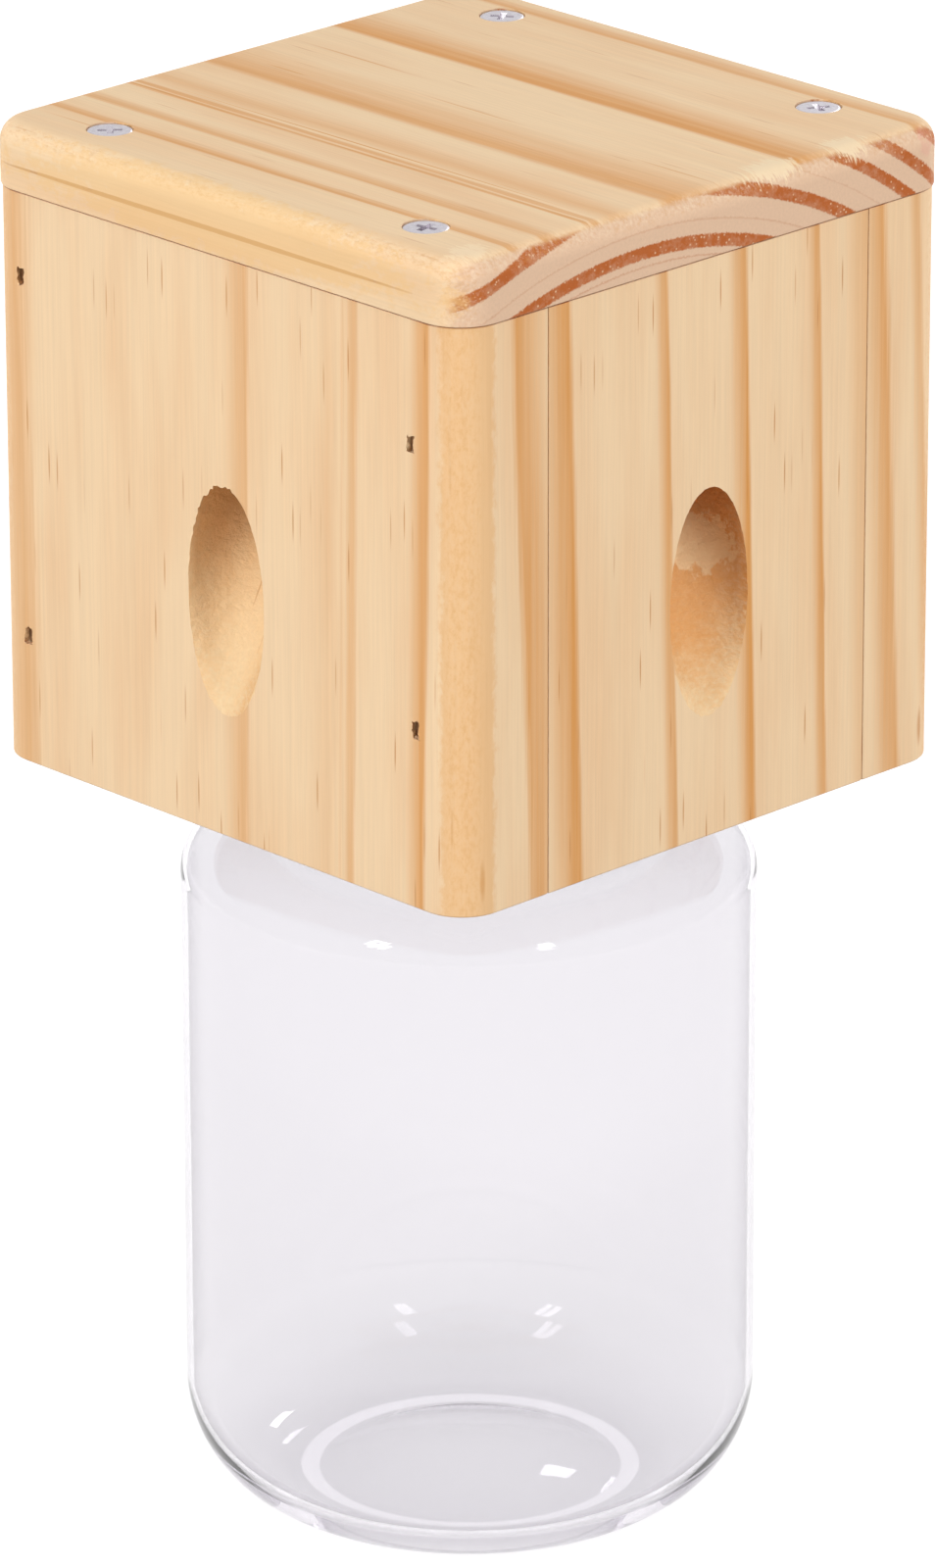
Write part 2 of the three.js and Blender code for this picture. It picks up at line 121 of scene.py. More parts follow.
class Facing(Enum):
    """Which way a wall faces, as its turn about Z in degrees from facing -Y."""

    FRONT = 0
    RIGHT = 90
    BACK = 180
    LEFT = -90


class Grain(Enum):
    """The way the fibres run: the turn about Y that lays them along Z, and the normal's axis."""

    UPRIGHT = (0.0, "Z")
    ALONG_X = (-90.0, "X")


# ---- small helpers


def linear(hex_colour: str) -> tuple[float, float, float, float]:
    """Turn an sRGB hex colour such as "#F0D2A2" to linear RGBA.

    Args:
        hex_colour: Six hex digits after a hash.

    Returns:
        Linear red, green, blue and an alpha of one.
    """
    values = [int(hex_colour[i : i + 2], 16) / 255 for i in (1, 3, 5)]
    shades = [v / 12.92 if v <= 0.04045 else ((v + 0.055) / 1.055) ** 2.4 for v in values]
    return (*shades, 1.0)


def extent(node: str) -> tuple[Vector, Vector]:
    """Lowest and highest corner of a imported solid, in millimetres."""
    low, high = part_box(node)
    return low / MM, high / MM


def set_sockets(node: Node, sockets: dict | Sequence) -> None:
    """Give a node's inputs their values and links.

    Args:
        node: The node.
        sockets: What each input takes, by name or place, or else in order from the first. It is
            a value, an output, or a node, which feeds from the first output it has in use.
    """
    pairs = sockets.items() if isinstance(sockets, dict) else enumerate(sockets)
    for key, value in pairs:
        if isinstance(value, Node):
            value = next(output for output in value.outputs if output.enabled)
        if isinstance(value, Socket):
            node.id_data.links.new(value, node.inputs[key])
        else:
            node.inputs[key].default_value = value


def add_node(tree: Tree, kind: str, sockets: dict | Sequence = (), **settings: object) -> Node:
    """Add a node with its settings, values and links.

    Args:
        tree: The node tree that takes the node.
        kind: The node's type, as the part of its name after "ShaderNode".
        sockets: What its inputs take, as for set_sockets.
        settings: Properties of the node itself.

    Returns:
        The new node.
    """
    node = tree.nodes.new(f"ShaderNode{kind}")
    for name, value in settings.items():
        setattr(node, name, value)
    set_sockets(node, sockets)
    return node


def new_material(name: str) -> tuple[bpy.types.Material, Tree, Node]:
    """Make a material that holds only a Principled shader.

    Args:
        name: The finish's name.

    Returns:
        The material, its node tree and its shader.
    """
    material = bpy.data.materials.new(name)
    material.use_nodes = True
    tree = material.node_tree
    return material, tree, tree.nodes["Principled BSDF"]


# ---- finishes


@dataclass(frozen=True)
class Band:
    """A stripe of late wood, pale on its soft side and darkest just before its sharp side.

    A crisp one is dark all through, as rings are on end grain. The sides are in millimetres.
    """

    soft: float
    sharp: float
    depth: float = 1.0
    crisp: bool = False
    sharpness: float = 0.45
    hairline: float = 0.6
    narrow: float = 2.6

    def stops(self) -> Outline:
        """Spread the stripe over the stops of a colour ramp.

        Returns:
            Places in millimetres, each with its darkness from 0 to 1.
        """
        width = self.sharp - self.soft
        edge = math.copysign(min(self.sharpness, abs(width) / 2), width)
        if self.crisp and abs(width) < self.hairline:
            shares = ((0.0, 0.0), (width / 2, 1.0), (width, 0.0))
        elif self.crisp:
            shares = ((0.0, 0.0), (0.3 * edge, 0.85), (width - 0.4 * edge, 1.0), (width, 0.0))
        elif abs(width) < self.narrow:
            shares = ((0.0, 0.0), (0.6 * width, 0.75), (width, 1.0), (width + edge, 0.0))
        else:
            shares = ((0.0, 0.0), (0.5 * width, 0.6), (0.93 * width, 1.0), (width + edge, 0.0))
        return [(self.soft + step, share * self.depth) for step, share in shares]


@dataclass(frozen=True)
class Streak:
    """A short dark line along the grain, at a place across and along the board's face."""

    across: float
    along: float
    length: float
    width: float
    depth: float = 1.0


@dataclass(frozen=True)
class Blot:
    """A soft-edged patch of another colour around a place in the log.

    The fray is how far its edge wanders, as a share of its size, and the grain is how fine
    that wandering is, in features to the millimetre along each axis.
    """

    centre: Trio
    radii: Trio
    colour: str
    share: float
    fray: float = 0.5
    grain: Trio = (0.7, 0.7, 0.5)


@dataclass(frozen=True)
class Pine:
    """One board of radiata pine, planed and left bare.

    Bare planed softwood is dry and matt. The eye gets a pale cream ground with broad honey
    bands of late wood, each fading in on one side and ending sharply on the other, hair-thin
    brown dashes where resin canals are cut, and rust-brown arcs on the sawn ends. A saw has cut
    each board from its own place in a log, so the same rings make the stripes on its face and
    the arcs on its end.

    Lengths are in millimetres in the log's own frame, where the grain runs along Z. Figure is
    given in features to the millimetre, first across the grain and last along it.
    """

    name: str
    grain: Grain
    pith: tuple[float, float]
    lean: tuple[float, float]
    rings: tuple[Band, ...]
    outward: tuple[float, float] = (0.0, 0.0)
    half_width: float = 0.0
    stripes: tuple[Band, ...] = ()
    streaks: tuple[Streak, ...] = ()
    blots: tuple[Blot, ...] = ()
    # Colours of the ground, the bands and the marks on them
    early: str = "#F7D7AD"
    early_deep: str = "#F0C698"
    late: str = "#DE9C54"
    end_early: str = "#E6C2A2"
    end_late: str = "#B65E1E"
    fleck: str = "#C4803E"
    pore: str = "#F3D9B4"
    lifted_fibre: str = "#F9E4C6"
    bruised_fibre: str = "#D9A366"
    # A darker brown deeper in a drilled hole: drill rubbing, and painted shade of the hole
    rubbed_and_shaded_brown: str = "#E9A65F"
    crumb: str = "#FBE0B6"
    roughness: float = 0.62
    index: float = 1.5
    # How strong the canals are, and at what depths the drilled wall's darker brown starts and is
    # full, and its strength: drill rubbing, and painted shade of the hole's depth
    flecks: float = 0.75
    rub_and_shade: Trio = (5.0, 14.0, 0.6)
    seed: float = 0.0
    # The trunk wanders half a millimetre over bends of 50 mm and more
    sway: float = 0.5
    bends: Trio = (0.02, 0.02, 0.012)
    lean_from: float = 215.45
    # Fibres are about 0.04 mm wide, too fine to show in the render, and are drawn 0.45 mm wide
    fibre_width: float = 0.45
    fibre_length: float = 26.0
    fibre_shade: Span = (0.2, 0.8, 0.93, 1.05)
    ring_fray: float = 0.9
    stripe_fray: float = 1.4
    # Deeper patches of the ground are about 7 mm wide and 50 mm long
    clouds: Trio = (0.14, 0.14, 0.02)
    cloud_share: Span = (0.4, 0.85, 0.0, 1.0)
    # Late wood thins and thickens in strips about 2 mm wide and 140 mm long
    veins: Trio = (0.55, 0.55, 0.007)
    vein_share: Span = (0.3, 0.7, 0.72, 1.3)
    # A resin canal is about 0.2 mm wide, and is drawn 0.35 mm wide and up to 7 mm long
    canals: Trio = (0.42, 0.02, 1.0)
    canal_edge: tuple[float, float] = (0.075, 0.03)
    canal_choice: Span = (0.2, 0.85, 0.0, 1.0)
    # The same canals seen end on, drawn as dots 0.4 mm across
    pores: Trio = (1.1, 1.1, 0.05)
    pore_dot: Span = (0.24, 0.12, 0.0, 0.7)
    end_slant: Span = (0.42, 0.72, 0.0, 1.0)
    # Tufts of lifted and bruised fibres are about 0.7 mm wide
    tufts: Trio = (1.5, 1.5, 0.8)
    edge_slant: Span = (0.99, 0.85, 0.0, 1.0)
    lifted: Span = (0.5, 0.66, 0.0, 0.42)
    bruised: Span = (0.5, 0.36, 0.0, 0.38)
    # The darker brown, drill rubbing and painted shade, wanders over 4 mm or so, and the drill
    # leaves crumbs about 1 mm wide
    rub_and_shade_blotches: Trio = (0.22, 0.22, 0.6)
    rub_and_shade_turn: float = 0.4
    rub_and_shade_reach: float = 6.0
    rub_and_shade_least: float = 0.1
    crumbs: Trio = (0.8, 0.8, 1.5)
    crumb_share: Span = (0.44, 0.66, 0.0, 1.0)
    mouth: Span = (6.0, 0.5, 0.14, 0.6)
    # Its torn marks are about 1.5 mm apart and many times deeper than the fibres' relief
    drill_marks: Trio = (0.6, 0.6, 0.9)
    drill_depth: float = 18.0
    relief: float = 0.12
    relief_share: float = 0.35
    late_relief: float = 0.6
    bored: bool = False

    def drilled(self) -> "Pine":
        """The same wood drilled, with a paler ground that is painted light inside the hole."""
        # Painted light: the drilled ground is paler than the planed ground, to light the inside of
        # the hole
        return replace(self, name=self.name.replace("planed", "drilled"), bored=True,
                       early="#FFDFAE", early_deep="#F8CE98")

    def dress(self) -> bpy.types.Material:
        """Build the material.

        Returns:
            The finish of one board.
        """
        material, tree, shader = new_material(self.name)
        source = add_node(tree, "TexCoord")
        still = self._log_frame(tree, source.outputs["Object"])
        place = self._swayed(tree, still)
        fibre = self._fibre(tree, place)
        end = self._end_share(tree, source.outputs["Normal"])
        late = self._late_wood(tree, place, fibre, end)
        colour = self._colour(tree, place, fibre, late, end)
        if self.bored:
            colour = self._rubbed_and_shaded(tree, still, colour)
        else:
            colour = self._fuzzed(tree, still, colour, source.outputs["Normal"])
        for blot in self.blots:
            colour = self._blotted(tree, still, colour, blot)
        set_sockets(shader, {"Base Color": colour, "Roughness": self.roughness, "IOR": self.index,
                             "Normal": self._bump(tree, still, fibre, late)})
        return material

    def _log_frame(self, tree: Tree, place: Feed) -> Node:
        """Turn a place on the board to millimetres in the log.

        Args:
            tree: The material's nodes.
            place: The place in the object's own metres.

        Returns:
            The place with the grain along Z.
        """
        turn = (0.0, math.radians(self.grain.value[0]), 0.0)
        return add_node(tree, "Mapping", {"Vector": place, "Rotation": turn,
                                          "Scale": (1 / MM,) * 3})

    def _swayed(self, tree: Tree, place: Feed) -> Node:
        """Bend the log slowly, as a real trunk is.

        Args:
            tree: The material's nodes.
            place: A place in the straight log.

        Returns:
            The place in the bent log.
        """
        slow = add_node(tree, "Mapping", {"Vector": place, "Scale": self.bends,
                                          "Location": (self.seed,) * 3})
        swell = add_node(tree, "TexNoise", {"Vector": slow, "Scale": 1.0, "Detail": 2.0,
                                            "Roughness": 0.4})
        reach = (2 * self.sway, 2 * self.sway, 0.0)
        bent = add_node(tree, "VectorMath", (swell.outputs["Color"], reach, place),
                        operation="MULTIPLY_ADD")
        return add_node(tree, "VectorMath", (bent, (self.sway, self.sway, 0.0)),
                        operation="SUBTRACT")

    def _fibre(self, tree: Tree, place: Feed) -> Node:
        """Draw fine lines along the grain, which show as dots on end grain.

        Args:
            tree: The material's nodes.
            place: The place in the bent log.

        Returns:
            A value around one half.
        """
        across, along = 1 / self.fibre_width, 1 / self.fibre_length
        spot = add_node(tree, "Mapping", {"Vector": place, "Scale": (across, across, along)})
        return add_node(tree, "TexNoise", {"Vector": spot, "Scale": 1.0, "Detail": 4.0,
                                           "Roughness": 0.62})

    def _end_share(self, tree: Tree, normal: Feed) -> Node:
        """Tell sawn ends from faces.

        Args:
            tree: The material's nodes.
            normal: The surface's normal.

        Returns:
            How far the surface faces along the grain, from 0 on a face to 1 on an end.
        """
        parts = add_node(tree, "SeparateXYZ", (normal,))
        size = add_node(tree, "Math", (parts.outputs[self.grain.value[1]],), operation="ABSOLUTE")
        return add_node(tree, "MapRange", (size, *self.end_slant),
                        interpolation_type="SMOOTHSTEP")

    def _banded(self, tree: Tree, value: Feed, bands: Sequence[Band]) -> Node:
        """Lay the listed bands along one measure.

        Args:
            tree: The material's nodes.
            value: The measure, in millimetres.
            bands: The bands, in any order.

        Returns:
            How dark the bands make the place, from 0 to 1.
        """
        stops = sorted(stop for band in bands for stop in band.stops())
        low, high = stops[0][0] - 1, stops[-1][0] + 1
        share = add_node(tree, "MapRange", (value, low, high, 0.0, 1.0))
        ramp = add_node(tree, "ValToRGB", (share,))
        elements = ramp.color_ramp.elements
        elements.remove(elements[-1])
        elements[0].position, elements[0].color = 0.0, (0.0, 0.0, 0.0, 1.0)
        for at, dark in stops:
            elements.new((at - low) / (high - low)).color = (dark, dark, dark, 1.0)
        return ramp

    def _late_wood(self, tree: Tree, place: Feed, fibre: Feed, end: Feed) -> Node:
        """Find how much late wood shows, from rings, face stripes and short streaks.

        Args:
            tree: The material's nodes.
            place: The place in the bent log.
            fibre: The fibre's value, which frays the bands.
            end: How far the surface is a sawn end.

        Returns:
            The late wood's share, from 0 to 1.
        """
        parts = add_node(tree, "SeparateXYZ", (place,))
        along = add_node(tree, "Math", (parts.outputs["Z"], self.lean_from), operation="SUBTRACT")
        lean = add_node(tree, "VectorMath", (along, (*self.lean, 0.0), place),
                        operation="MULTIPLY_ADD")
        centred = add_node(tree, "VectorMath", (lean, (*self.pith, 0.0)), operation="SUBTRACT")
        flat = add_node(tree, "VectorMath", (centred, (1.0, 1.0, 0.0)), operation="MULTIPLY")
        radius = add_node(tree, "VectorMath", (flat,), operation="LENGTH")
        frayed = add_node(tree, "Math", (fibre, self.ring_fray, radius), operation="MULTIPLY_ADD")
        late = self._banded(tree, frayed, self.rings)
        if not self.stripes:
            return late
        across = add_node(tree, "SeparateXYZ", (lean,)).outputs["Y"]
        frayed = add_node(tree, "Math", (fibre, self.stripe_fray, across),
                          operation="MULTIPLY_ADD")
        stripes = self._banded(tree, frayed, self.stripes)
        for streak in self.streaks:
            stripes = self._with_streak(tree, place, stripes, streak)
        return add_node(tree, "Mix", {0: end, NUMBER_A: stripes, NUMBER_B: late},
                        data_type="FLOAT")

    def _with_streak(self, tree: Tree, place: Feed, late: Feed, streak: Streak) -> Node:
        """Draw one short line over the late wood.

        Args:
            tree: The material's nodes.
            place: The place in the bent log.
            late: The late wood's share so far.
            streak: The line.

        Returns:
            The late wood's share with the line.
        """
        scale = (0.0, 2 / streak.width, 2 / streak.length)
        shift = (0.0, -streak.across * scale[1], -streak.along * scale[2])
        near = add_node(tree, "Mapping", {"Vector": place, "Scale": scale, "Location": shift})
        far = add_node(tree, "VectorMath", (near,), operation="LENGTH")
        line = add_node(tree, "MapRange", (far, 1.0, 0.2, 0.0, streak.depth),
                        interpolation_type="SMOOTHSTEP")
        return add_node(tree, "Math", (late, line), operation="MAXIMUM")

    def _colour(self, tree: Tree, place: Feed, fibre: Feed, late: Feed, end: Feed) -> Node:
        """Colour the board where it is planed or sawn.

        Args:
            tree: The material's nodes.
            place: The place in the bent log.
            fibre: The fibre's value.
            late: The late wood's share.
            end: How far the surface is a sawn end.

        Returns:
            The wood's colour.
        """
        spot = add_node(tree, "Mapping", {"Vector": place, "Scale": self.clouds})
        cloud = add_node(tree, "TexNoise", {"Vector": spot, "Scale": 1.0, "Detail": 3.0,
                                            "Roughness": 0.5})
        deep = add_node(tree, "MapRange", (cloud, *self.cloud_share))
        early = add_node(tree, "Mix", {0: deep, COLOUR_A: linear(self.early),
                                       COLOUR_B: linear(self.early_deep)}, data_type="RGBA")
        dark = add_node(tree, "Mix", {0: end, COLOUR_A: linear(self.late),
                                      COLOUR_B: linear(self.end_late)}, data_type="RGBA")
        pale = add_node(tree, "Mix", {0: end, COLOUR_A: early, COLOUR_B: linear(self.end_early)},
                        data_type="RGBA")
        spot = add_node(tree, "Mapping", {"Vector": place, "Scale": self.veins})
        vein = add_node(tree, "TexNoise", {"Vector": spot, "Scale": 1.0, "Detail": 5.0,
                                           "Roughness": 0.75})
        uneven = add_node(tree, "MapRange", (vein, *self.vein_share))
        share = add_node(tree, "Math", (late, uneven), operation="MULTIPLY", use_clamp=True)
        banded = add_node(tree, "Mix", {0: share, COLOUR_A: pale, COLOUR_B: dark},
                          data_type="RGBA")
        flecked = add_node(tree, "Mix", {0: self._flecks(tree, place, end), COLOUR_A: banded,
                                         COLOUR_B: linear(self.fleck)}, data_type="RGBA")
        dotted = add_node(tree, "Mix", {0: self._pores(tree, place, late, end),
                                        COLOUR_A: flecked, COLOUR_B: linear(self.pore)},
                          data_type="RGBA")
        lined = add_node(tree, "MapRange", (fibre, *self.fibre_shade))
        return add_node(tree, "VectorMath", (dotted, lined), operation="MULTIPLY")

    def _flecks(self, tree: Tree, place: Feed, end: Feed) -> Node:
        """Draw resin canals: hair-thin brown dashes a few millimetres long, none on the ends.

        Args:
            tree: The material's nodes.
            place: The place in the bent log.
            end: How far the surface is a sawn end.

        Returns:
            How much a canal shows, from 0 to 1.
        """
        parts = add_node(tree, "SeparateXYZ", (place,))
        across = parts.outputs["X"] if abs(self.outward[1]) > 0.5 else parts.outputs["Y"]
        sheet = add_node(tree, "CombineXYZ", (across, parts.outputs["Z"], self.seed))
        drawn = add_node(tree, "Mapping", {"Vector": sheet, "Scale": self.canals})
        cells = add_node(tree, "TexVoronoi", {"Vector": drawn, "Scale": 1.0},
                         voronoi_dimensions="2D")
        thin = add_node(tree, "MapRange", (cells, *self.canal_edge, 0.0, self.flecks))
        pick = add_node(tree, "SeparateColor", (cells.outputs["Color"],))
        some = add_node(tree, "MapRange", (pick, *self.canal_choice))
        seen = add_node(tree, "Math", (thin, some), operation="MULTIPLY")
        face = add_node(tree, "MapRange", (end, 1.0, 0.0, 0.0, 1.0))
        return add_node(tree, "Math", (seen, face), operation="MULTIPLY")

    def _pores(self, tree: Tree, place: Feed, late: Feed, end: Feed) -> Node:
        """Dot the dark rings of a sawn end with the pale mouths of resin canals.

        Args:
            tree: The material's nodes.
            place: The place in the bent log.
            late: The late wood's share.
            end: How far the surface is a sawn end.

        Returns:
            How much a pore shows, from 0 to 1.
        """
        drawn = add_node(tree, "Mapping", {"Vector": place, "Scale": self.pores})
        cells = add_node(tree, "TexVoronoi", {"Vector": drawn, "Scale": 1.0})
        dot = add_node(tree, "MapRange", (cells, *self.pore_dot))
        ring = add_node(tree, "Math", (dot, late), operation="MULTIPLY")
        return add_node(tree, "Math", (ring, end), operation="MULTIPLY")

    def _fuzzed(self, tree: Tree, place: Feed, colour: Feed, normal: Feed) -> Node:
        """Lift pale fibres where a router has rounded the edges.

        Args:
            tree: The material's nodes.
            place: The place in the straight log.
            colour: The wood's colour.
            normal: The surface's normal, which is slanted only on the rounded edges.

        Returns:
            The colour with lifted and bruised fibres.
        """
        size = add_node(tree, "VectorMath", (normal,), operation="ABSOLUTE")
        parts = add_node(tree, "SeparateXYZ", (size,))
        pair = add_node(tree, "Math", (parts.outputs[0], parts.outputs[1]), operation="MAXIMUM")
        most = add_node(tree, "Math", (pair, parts.outputs[2]), operation="MAXIMUM")
        edge = add_node(tree, "MapRange", (most, *self.edge_slant))
        spot = add_node(tree, "Mapping", {"Vector": place, "Scale": self.tufts})
        tuft = add_node(tree, "TexNoise", {"Vector": spot, "Scale": 1.0, "Detail": 5.0,
                                           "Roughness": 0.75})
        pale = add_node(tree, "MapRange", (tuft, *self.lifted))
        share = add_node(tree, "Math", (edge, pale), operation="MULTIPLY")
        lifted = add_node(tree, "Mix", {0: share, COLOUR_A: colour,
                                        COLOUR_B: linear(self.lifted_fibre)}, data_type="RGBA")
        deep = add_node(tree, "MapRange", (tuft, *self.bruised))
        share = add_node(tree, "Math", (edge, deep), operation="MULTIPLY")
        return add_node(tree, "Mix", {0: share, COLOUR_A: lifted,
                                      COLOUR_B: linear(self.bruised_fibre)}, data_type="RGBA")

    def _depth(self, tree: Tree, place: Feed) -> Node:
        """Measure how deep a place lies below the board's outer face.

        Args:
            tree: The material's nodes.
            place: The place in the straight log.

        Returns:
            The depth in millimetres.
        """
        along = add_node(tree, "VectorMath", (place, (*self.outward, 0.0)),
                         operation="DOT_PRODUCT")
        return add_node(tree, "Math", (self.half_width, along), operation="SUBTRACT")

    def _rubbed_and_shaded(self, tree: Tree, place: Feed, colour: Feed) -> Node:
        """Colour a drilled wall: torn and pale at the mouth, darker brown deeper in.

        The darker brown is partly the drill's rubbing and partly painted shade of the hole's depth.

        Args:
            tree: The material's nodes.
            place: The place in the straight log.
            colour: The wood's colour.

        Returns:
            The drilled wall's colour.
        """
        # Painted shade: deeper into the hole the wall turns a darker brown, which stands for the
        # hole's shade as well as the drill's rubbing
        depth = self._depth(tree, place)
        spot = add_node(tree, "Mapping", {"Vector": place, "Scale": self.rub_and_shade_blotches,
                                          "Rotation": (self.rub_and_shade_turn, self.rub_and_shade_turn, 0.0)})
        uneven_depth = add_node(tree, "TexNoise", {"Vector": spot, "Scale": 1.0, "Detail": 4.0,
                                            "Roughness": 0.5})
        shifted = add_node(tree, "Math", (uneven_depth, self.rub_and_shade_reach, depth), operation="MULTIPLY_ADD")
        rub_and_shade_share = add_node(tree, "MapRange", (shifted, *self.rub_and_shade[:2], self.rub_and_shade_least,
                                            self.rub_and_shade[2]),
                         interpolation_type="SMOOTHSTEP")
        brown = add_node(tree, "Mix", {0: rub_and_shade_share, COLOUR_A: colour,
                                       COLOUR_B: linear(self.rubbed_and_shaded_brown)}, data_type="RGBA")
        spot = add_node(tree, "Mapping", {"Vector": place, "Scale": self.crumbs})
        crumbs = add_node(tree, "TexNoise", {"Vector": spot, "Scale": 1.0, "Detail": 6.0,
                                             "Roughness": 0.7})
        mouth = add_node(tree, "MapRange", (depth, *self.mouth))
        crumb = add_node(tree, "MapRange", (crumbs, *self.crumb_share))
        share = add_node(tree, "Math", (crumb, mouth), operation="MULTIPLY")
        return add_node(tree, "Mix", {0: share, COLOUR_A: brown, COLOUR_B: linear(self.crumb)},
                        data_type="RGBA")

    def _blotted(self, tree: Tree, place: Feed, colour: Feed, blot: Blot) -> Node:
        """Lay one patch over the colour.

        Args:
            tree: The material's nodes.
            place: The place in the straight log.
            colour: The wood's colour.
            blot: The patch.

        Returns:
            The colour with the patch.
        """
        scale = tuple(1 / radius for radius in blot.radii)
        shift = tuple(-at * size for at, size in zip(blot.centre, scale))
        near = add_node(tree, "Mapping", {"Vector": place, "Scale": scale, "Location": shift})
        far = add_node(tree, "VectorMath", (near,), operation="LENGTH")
        spot = add_node(tree, "Mapping", {"Vector": place, "Scale": blot.grain})
        torn = add_node(tree, "TexNoise", {"Vector": spot, "Scale": 1.0, "Detail": 5.0,
                                           "Roughness": 0.65})
        edge = add_node(tree, "Math", (torn, 2 * blot.fray, far), operation="MULTIPLY_ADD")
        share = add_node(tree, "MapRange", (edge, 1.0 + blot.fray, 0.75 + blot.fray, 0.0,
                                            blot.share), interpolation_type="SMOOTHSTEP")
        return add_node(tree, "Mix", {0: share, COLOUR_A: colour, COLOUR_B: linear(blot.colour)},
                        data_type="RGBA")

    def _bump(self, tree: Tree, place: Feed, fibre: Feed, late: Feed) -> Node:
        """Raise open fibres, and late wood, which a planer leaves slightly proud.

        Args:
            tree: The material's nodes.
            place: The place in the straight log.
            fibre: The fibre's value.
            late: The late wood's share.

        Returns:
            The bumped normal.
        """
        raised = add_node(tree, "Math", (late, self.late_relief, fibre), operation="MULTIPLY_ADD")
        if self.bored:
            spot = add_node(tree, "Mapping", {"Vector": place, "Scale": self.drill_marks})
            marks = add_node(tree, "TexNoise", {"Vector": spot, "Scale": 1.0, "Detail": 6.0,
                                                "Roughness": 0.62})
            raised = add_node(tree, "Math", (marks, self.drill_depth, raised),
                              operation="MULTIPLY_ADD")
        return add_node(tree, "Bump", {"Height": raised, "Strength": self.relief_share,
                                       "Distance": self.relief * MM})


FRONT_PINE = Pine(
    "planed_pine_front", Grain.UPRIGHT, (-60.0, 18.0), (-0.022, -0.01),
    outward=(0.0, -1.0), half_width=52.0,
    rings=(Band(43.5, 47, 0.4), Band(68.2, 72.4, 0.55), Band(93.2, 97.1, 0.55),
           Band(107.5, 112.4, 0.3), Band(112.0, 114.4, 0.55), Band(123.6, 126.9, 0.85)),
    blots=(Blot((50.4, -48.9, 170.0), (4.6, 4.8, 400.0), "#E6AC66", 0.5, 0.3),),
    # The front hole's darker brown, drill rubbing and painted shade, starts deep and stays faint
    rub_and_shade=(7.0, 17.0, 0.3),
    seed=1.0,
)
RIGHT_PINE = Pine(
    "planed_pine_right", Grain.UPRIGHT, (20.0, -110.0), (0.0, 0.03),
    outward=(1.0, 0.0), half_width=52.0,
    rings=(Band(81.0, 87.1, 1.0), Band(103.6, 106.1, 0.8), Band(118.6, 122.3, 0.95),
           Band(134.9, 137.3, 0.8), Band(142.5, 148.0, 0.6)),
    # Torn-out end grain in the right hole, its pale colour raised as painted light where the hole's
    # shade falls on it
    blots=(Blot((43.0, 6.5, 166.8), (8.0, 5.5, 5.0), "#FFE0B0", 0.8, 0.8),),
    # The right hole's darker brown, drill rubbing and painted shade, starts near the mouth and is
    # strong
    rub_and_shade=(1.0, 9.0, 0.85),
    seed=4.0,
)
BACK_PINE = Pine(
    "planed_pine_back", Grain.UPRIGHT, (-50.0, -30.0), (0.02, 0.02),
    outward=(0.0, 1.0), half_width=52.0,
    rings=(Band(84.0, 86.5, 0.6), Band(96.0, 99.0, 0.8), Band(108.0, 111.5, 0.7),
           Band(119.5, 122.6, 0.8), Band(125.5, 126.8, 0.6)),
    seed=9.0,
)
LEFT_PINE = Pine(
    "planed_pine_left", Grain.UPRIGHT, (-25.0, 118.0), (0.015, -0.02),
    outward=(-1.0, 0.0), half_width=52.0,
    rings=(Band(86.0, 89.0, 0.6), Band(98.5, 102.0, 0.8), Band(113.0, 115.2, 0.5),
           Band(128.0, 131.5, 0.8), Band(141.0, 143.2, 0.6)),
    seed=13.0,
)
ROOF_PINE = Pine(
    "planed_pine_roof", Grain.ALONG_X, (-139.6, -14.5), (0.0, 0.0),
    rings=(Band(77.9, 78.3, 0.45, crisp=True), Band(79.2, 81.4, crisp=True),
           Band(83.4, 83.8, 0.3, crisp=True), Band(86.8, 89.0, crisp=True),
           Band(91.6, 91.9, 0.25, crisp=True), Band(94.5, 96.5, crisp=True),
           Band(99.0, 101.0, 0.95, crisp=True), Band(104.2, 106.2, 0.95, crisp=True)),
    stripes=(Band(49.0, 45.8, 0.85), Band(30.0, 19.5), Band(4.5, -8.0, 0.8),
             Band(-13.5, -22.2, 0.8), Band(-20.9, -23.4), Band(-29.4, -32.9, 0.72),
             Band(-37.4, -39.7, 0.8)),
    streaks=(Streak(9.5, -33.0, 34.0, 0.7, 0.6), Streak(3.4, -2.0, 30.0, 0.6, 0.6),
             Streak(3.2, 42.0, 26.0, 0.6, 0.6), Streak(-2.5, -37.0, 17.0, 0.8),
             Streak(-7.0, 39.0, 11.0, 0.8), Streak(20.4, 34.0, 60.0, 1.1),
             Streak(-43.5, -38.0, 26.0, 0.5, 0.6), Streak(-21.0, 0.0, 120.0, 0.5)),
    blots=(Blot((-225.3, 15.0, 49.4), (2.2, 5.5, 3.0), "#FBE4BE", 0.75, 1.5, (0.3, 2.2, 0.3)),
           Blot((-225.3, 31.0, 49.4), (2.2, 4.0, 3.0), "#FBE4BE", 0.75, 1.5, (0.3, 2.2, 0.3)),
           Blot((-225.3, -46.0, 47.5), (1.6, 3.5, 3.0), "#FFE6C0", 0.6, 1.4, (0.4, 1.6, 0.4)),
           Blot((-222.5, 46.0, 50.0), (3.0, 2.5, 3.0), "#E9A694", 0.35),
           Blot((-219.6, -52.3, -3.0), (0.45, 3.0, 50.0), "#C58A4C", 0.8, 0.15),
           Blot((-220.5, -50.5, 0.0), (6.5, 3.5, 60.0), "#F3C683", 0.45, 0.6)),
    flecks=0.35,
    seed=17.0,
)
FLOOR_PINE = Pine(
    "planed_pine_floor", Grain.ALONG_X, (-190.0, 12.0), (0.0, 0.0),
    rings=(Band(48.0, 50.0, 0.6), Band(57.0, 60.0, 0.8), Band(69.0, 71.0, 0.6),
           Band(80.0, 82.5, 0.6)),
    seed=21.0,
)


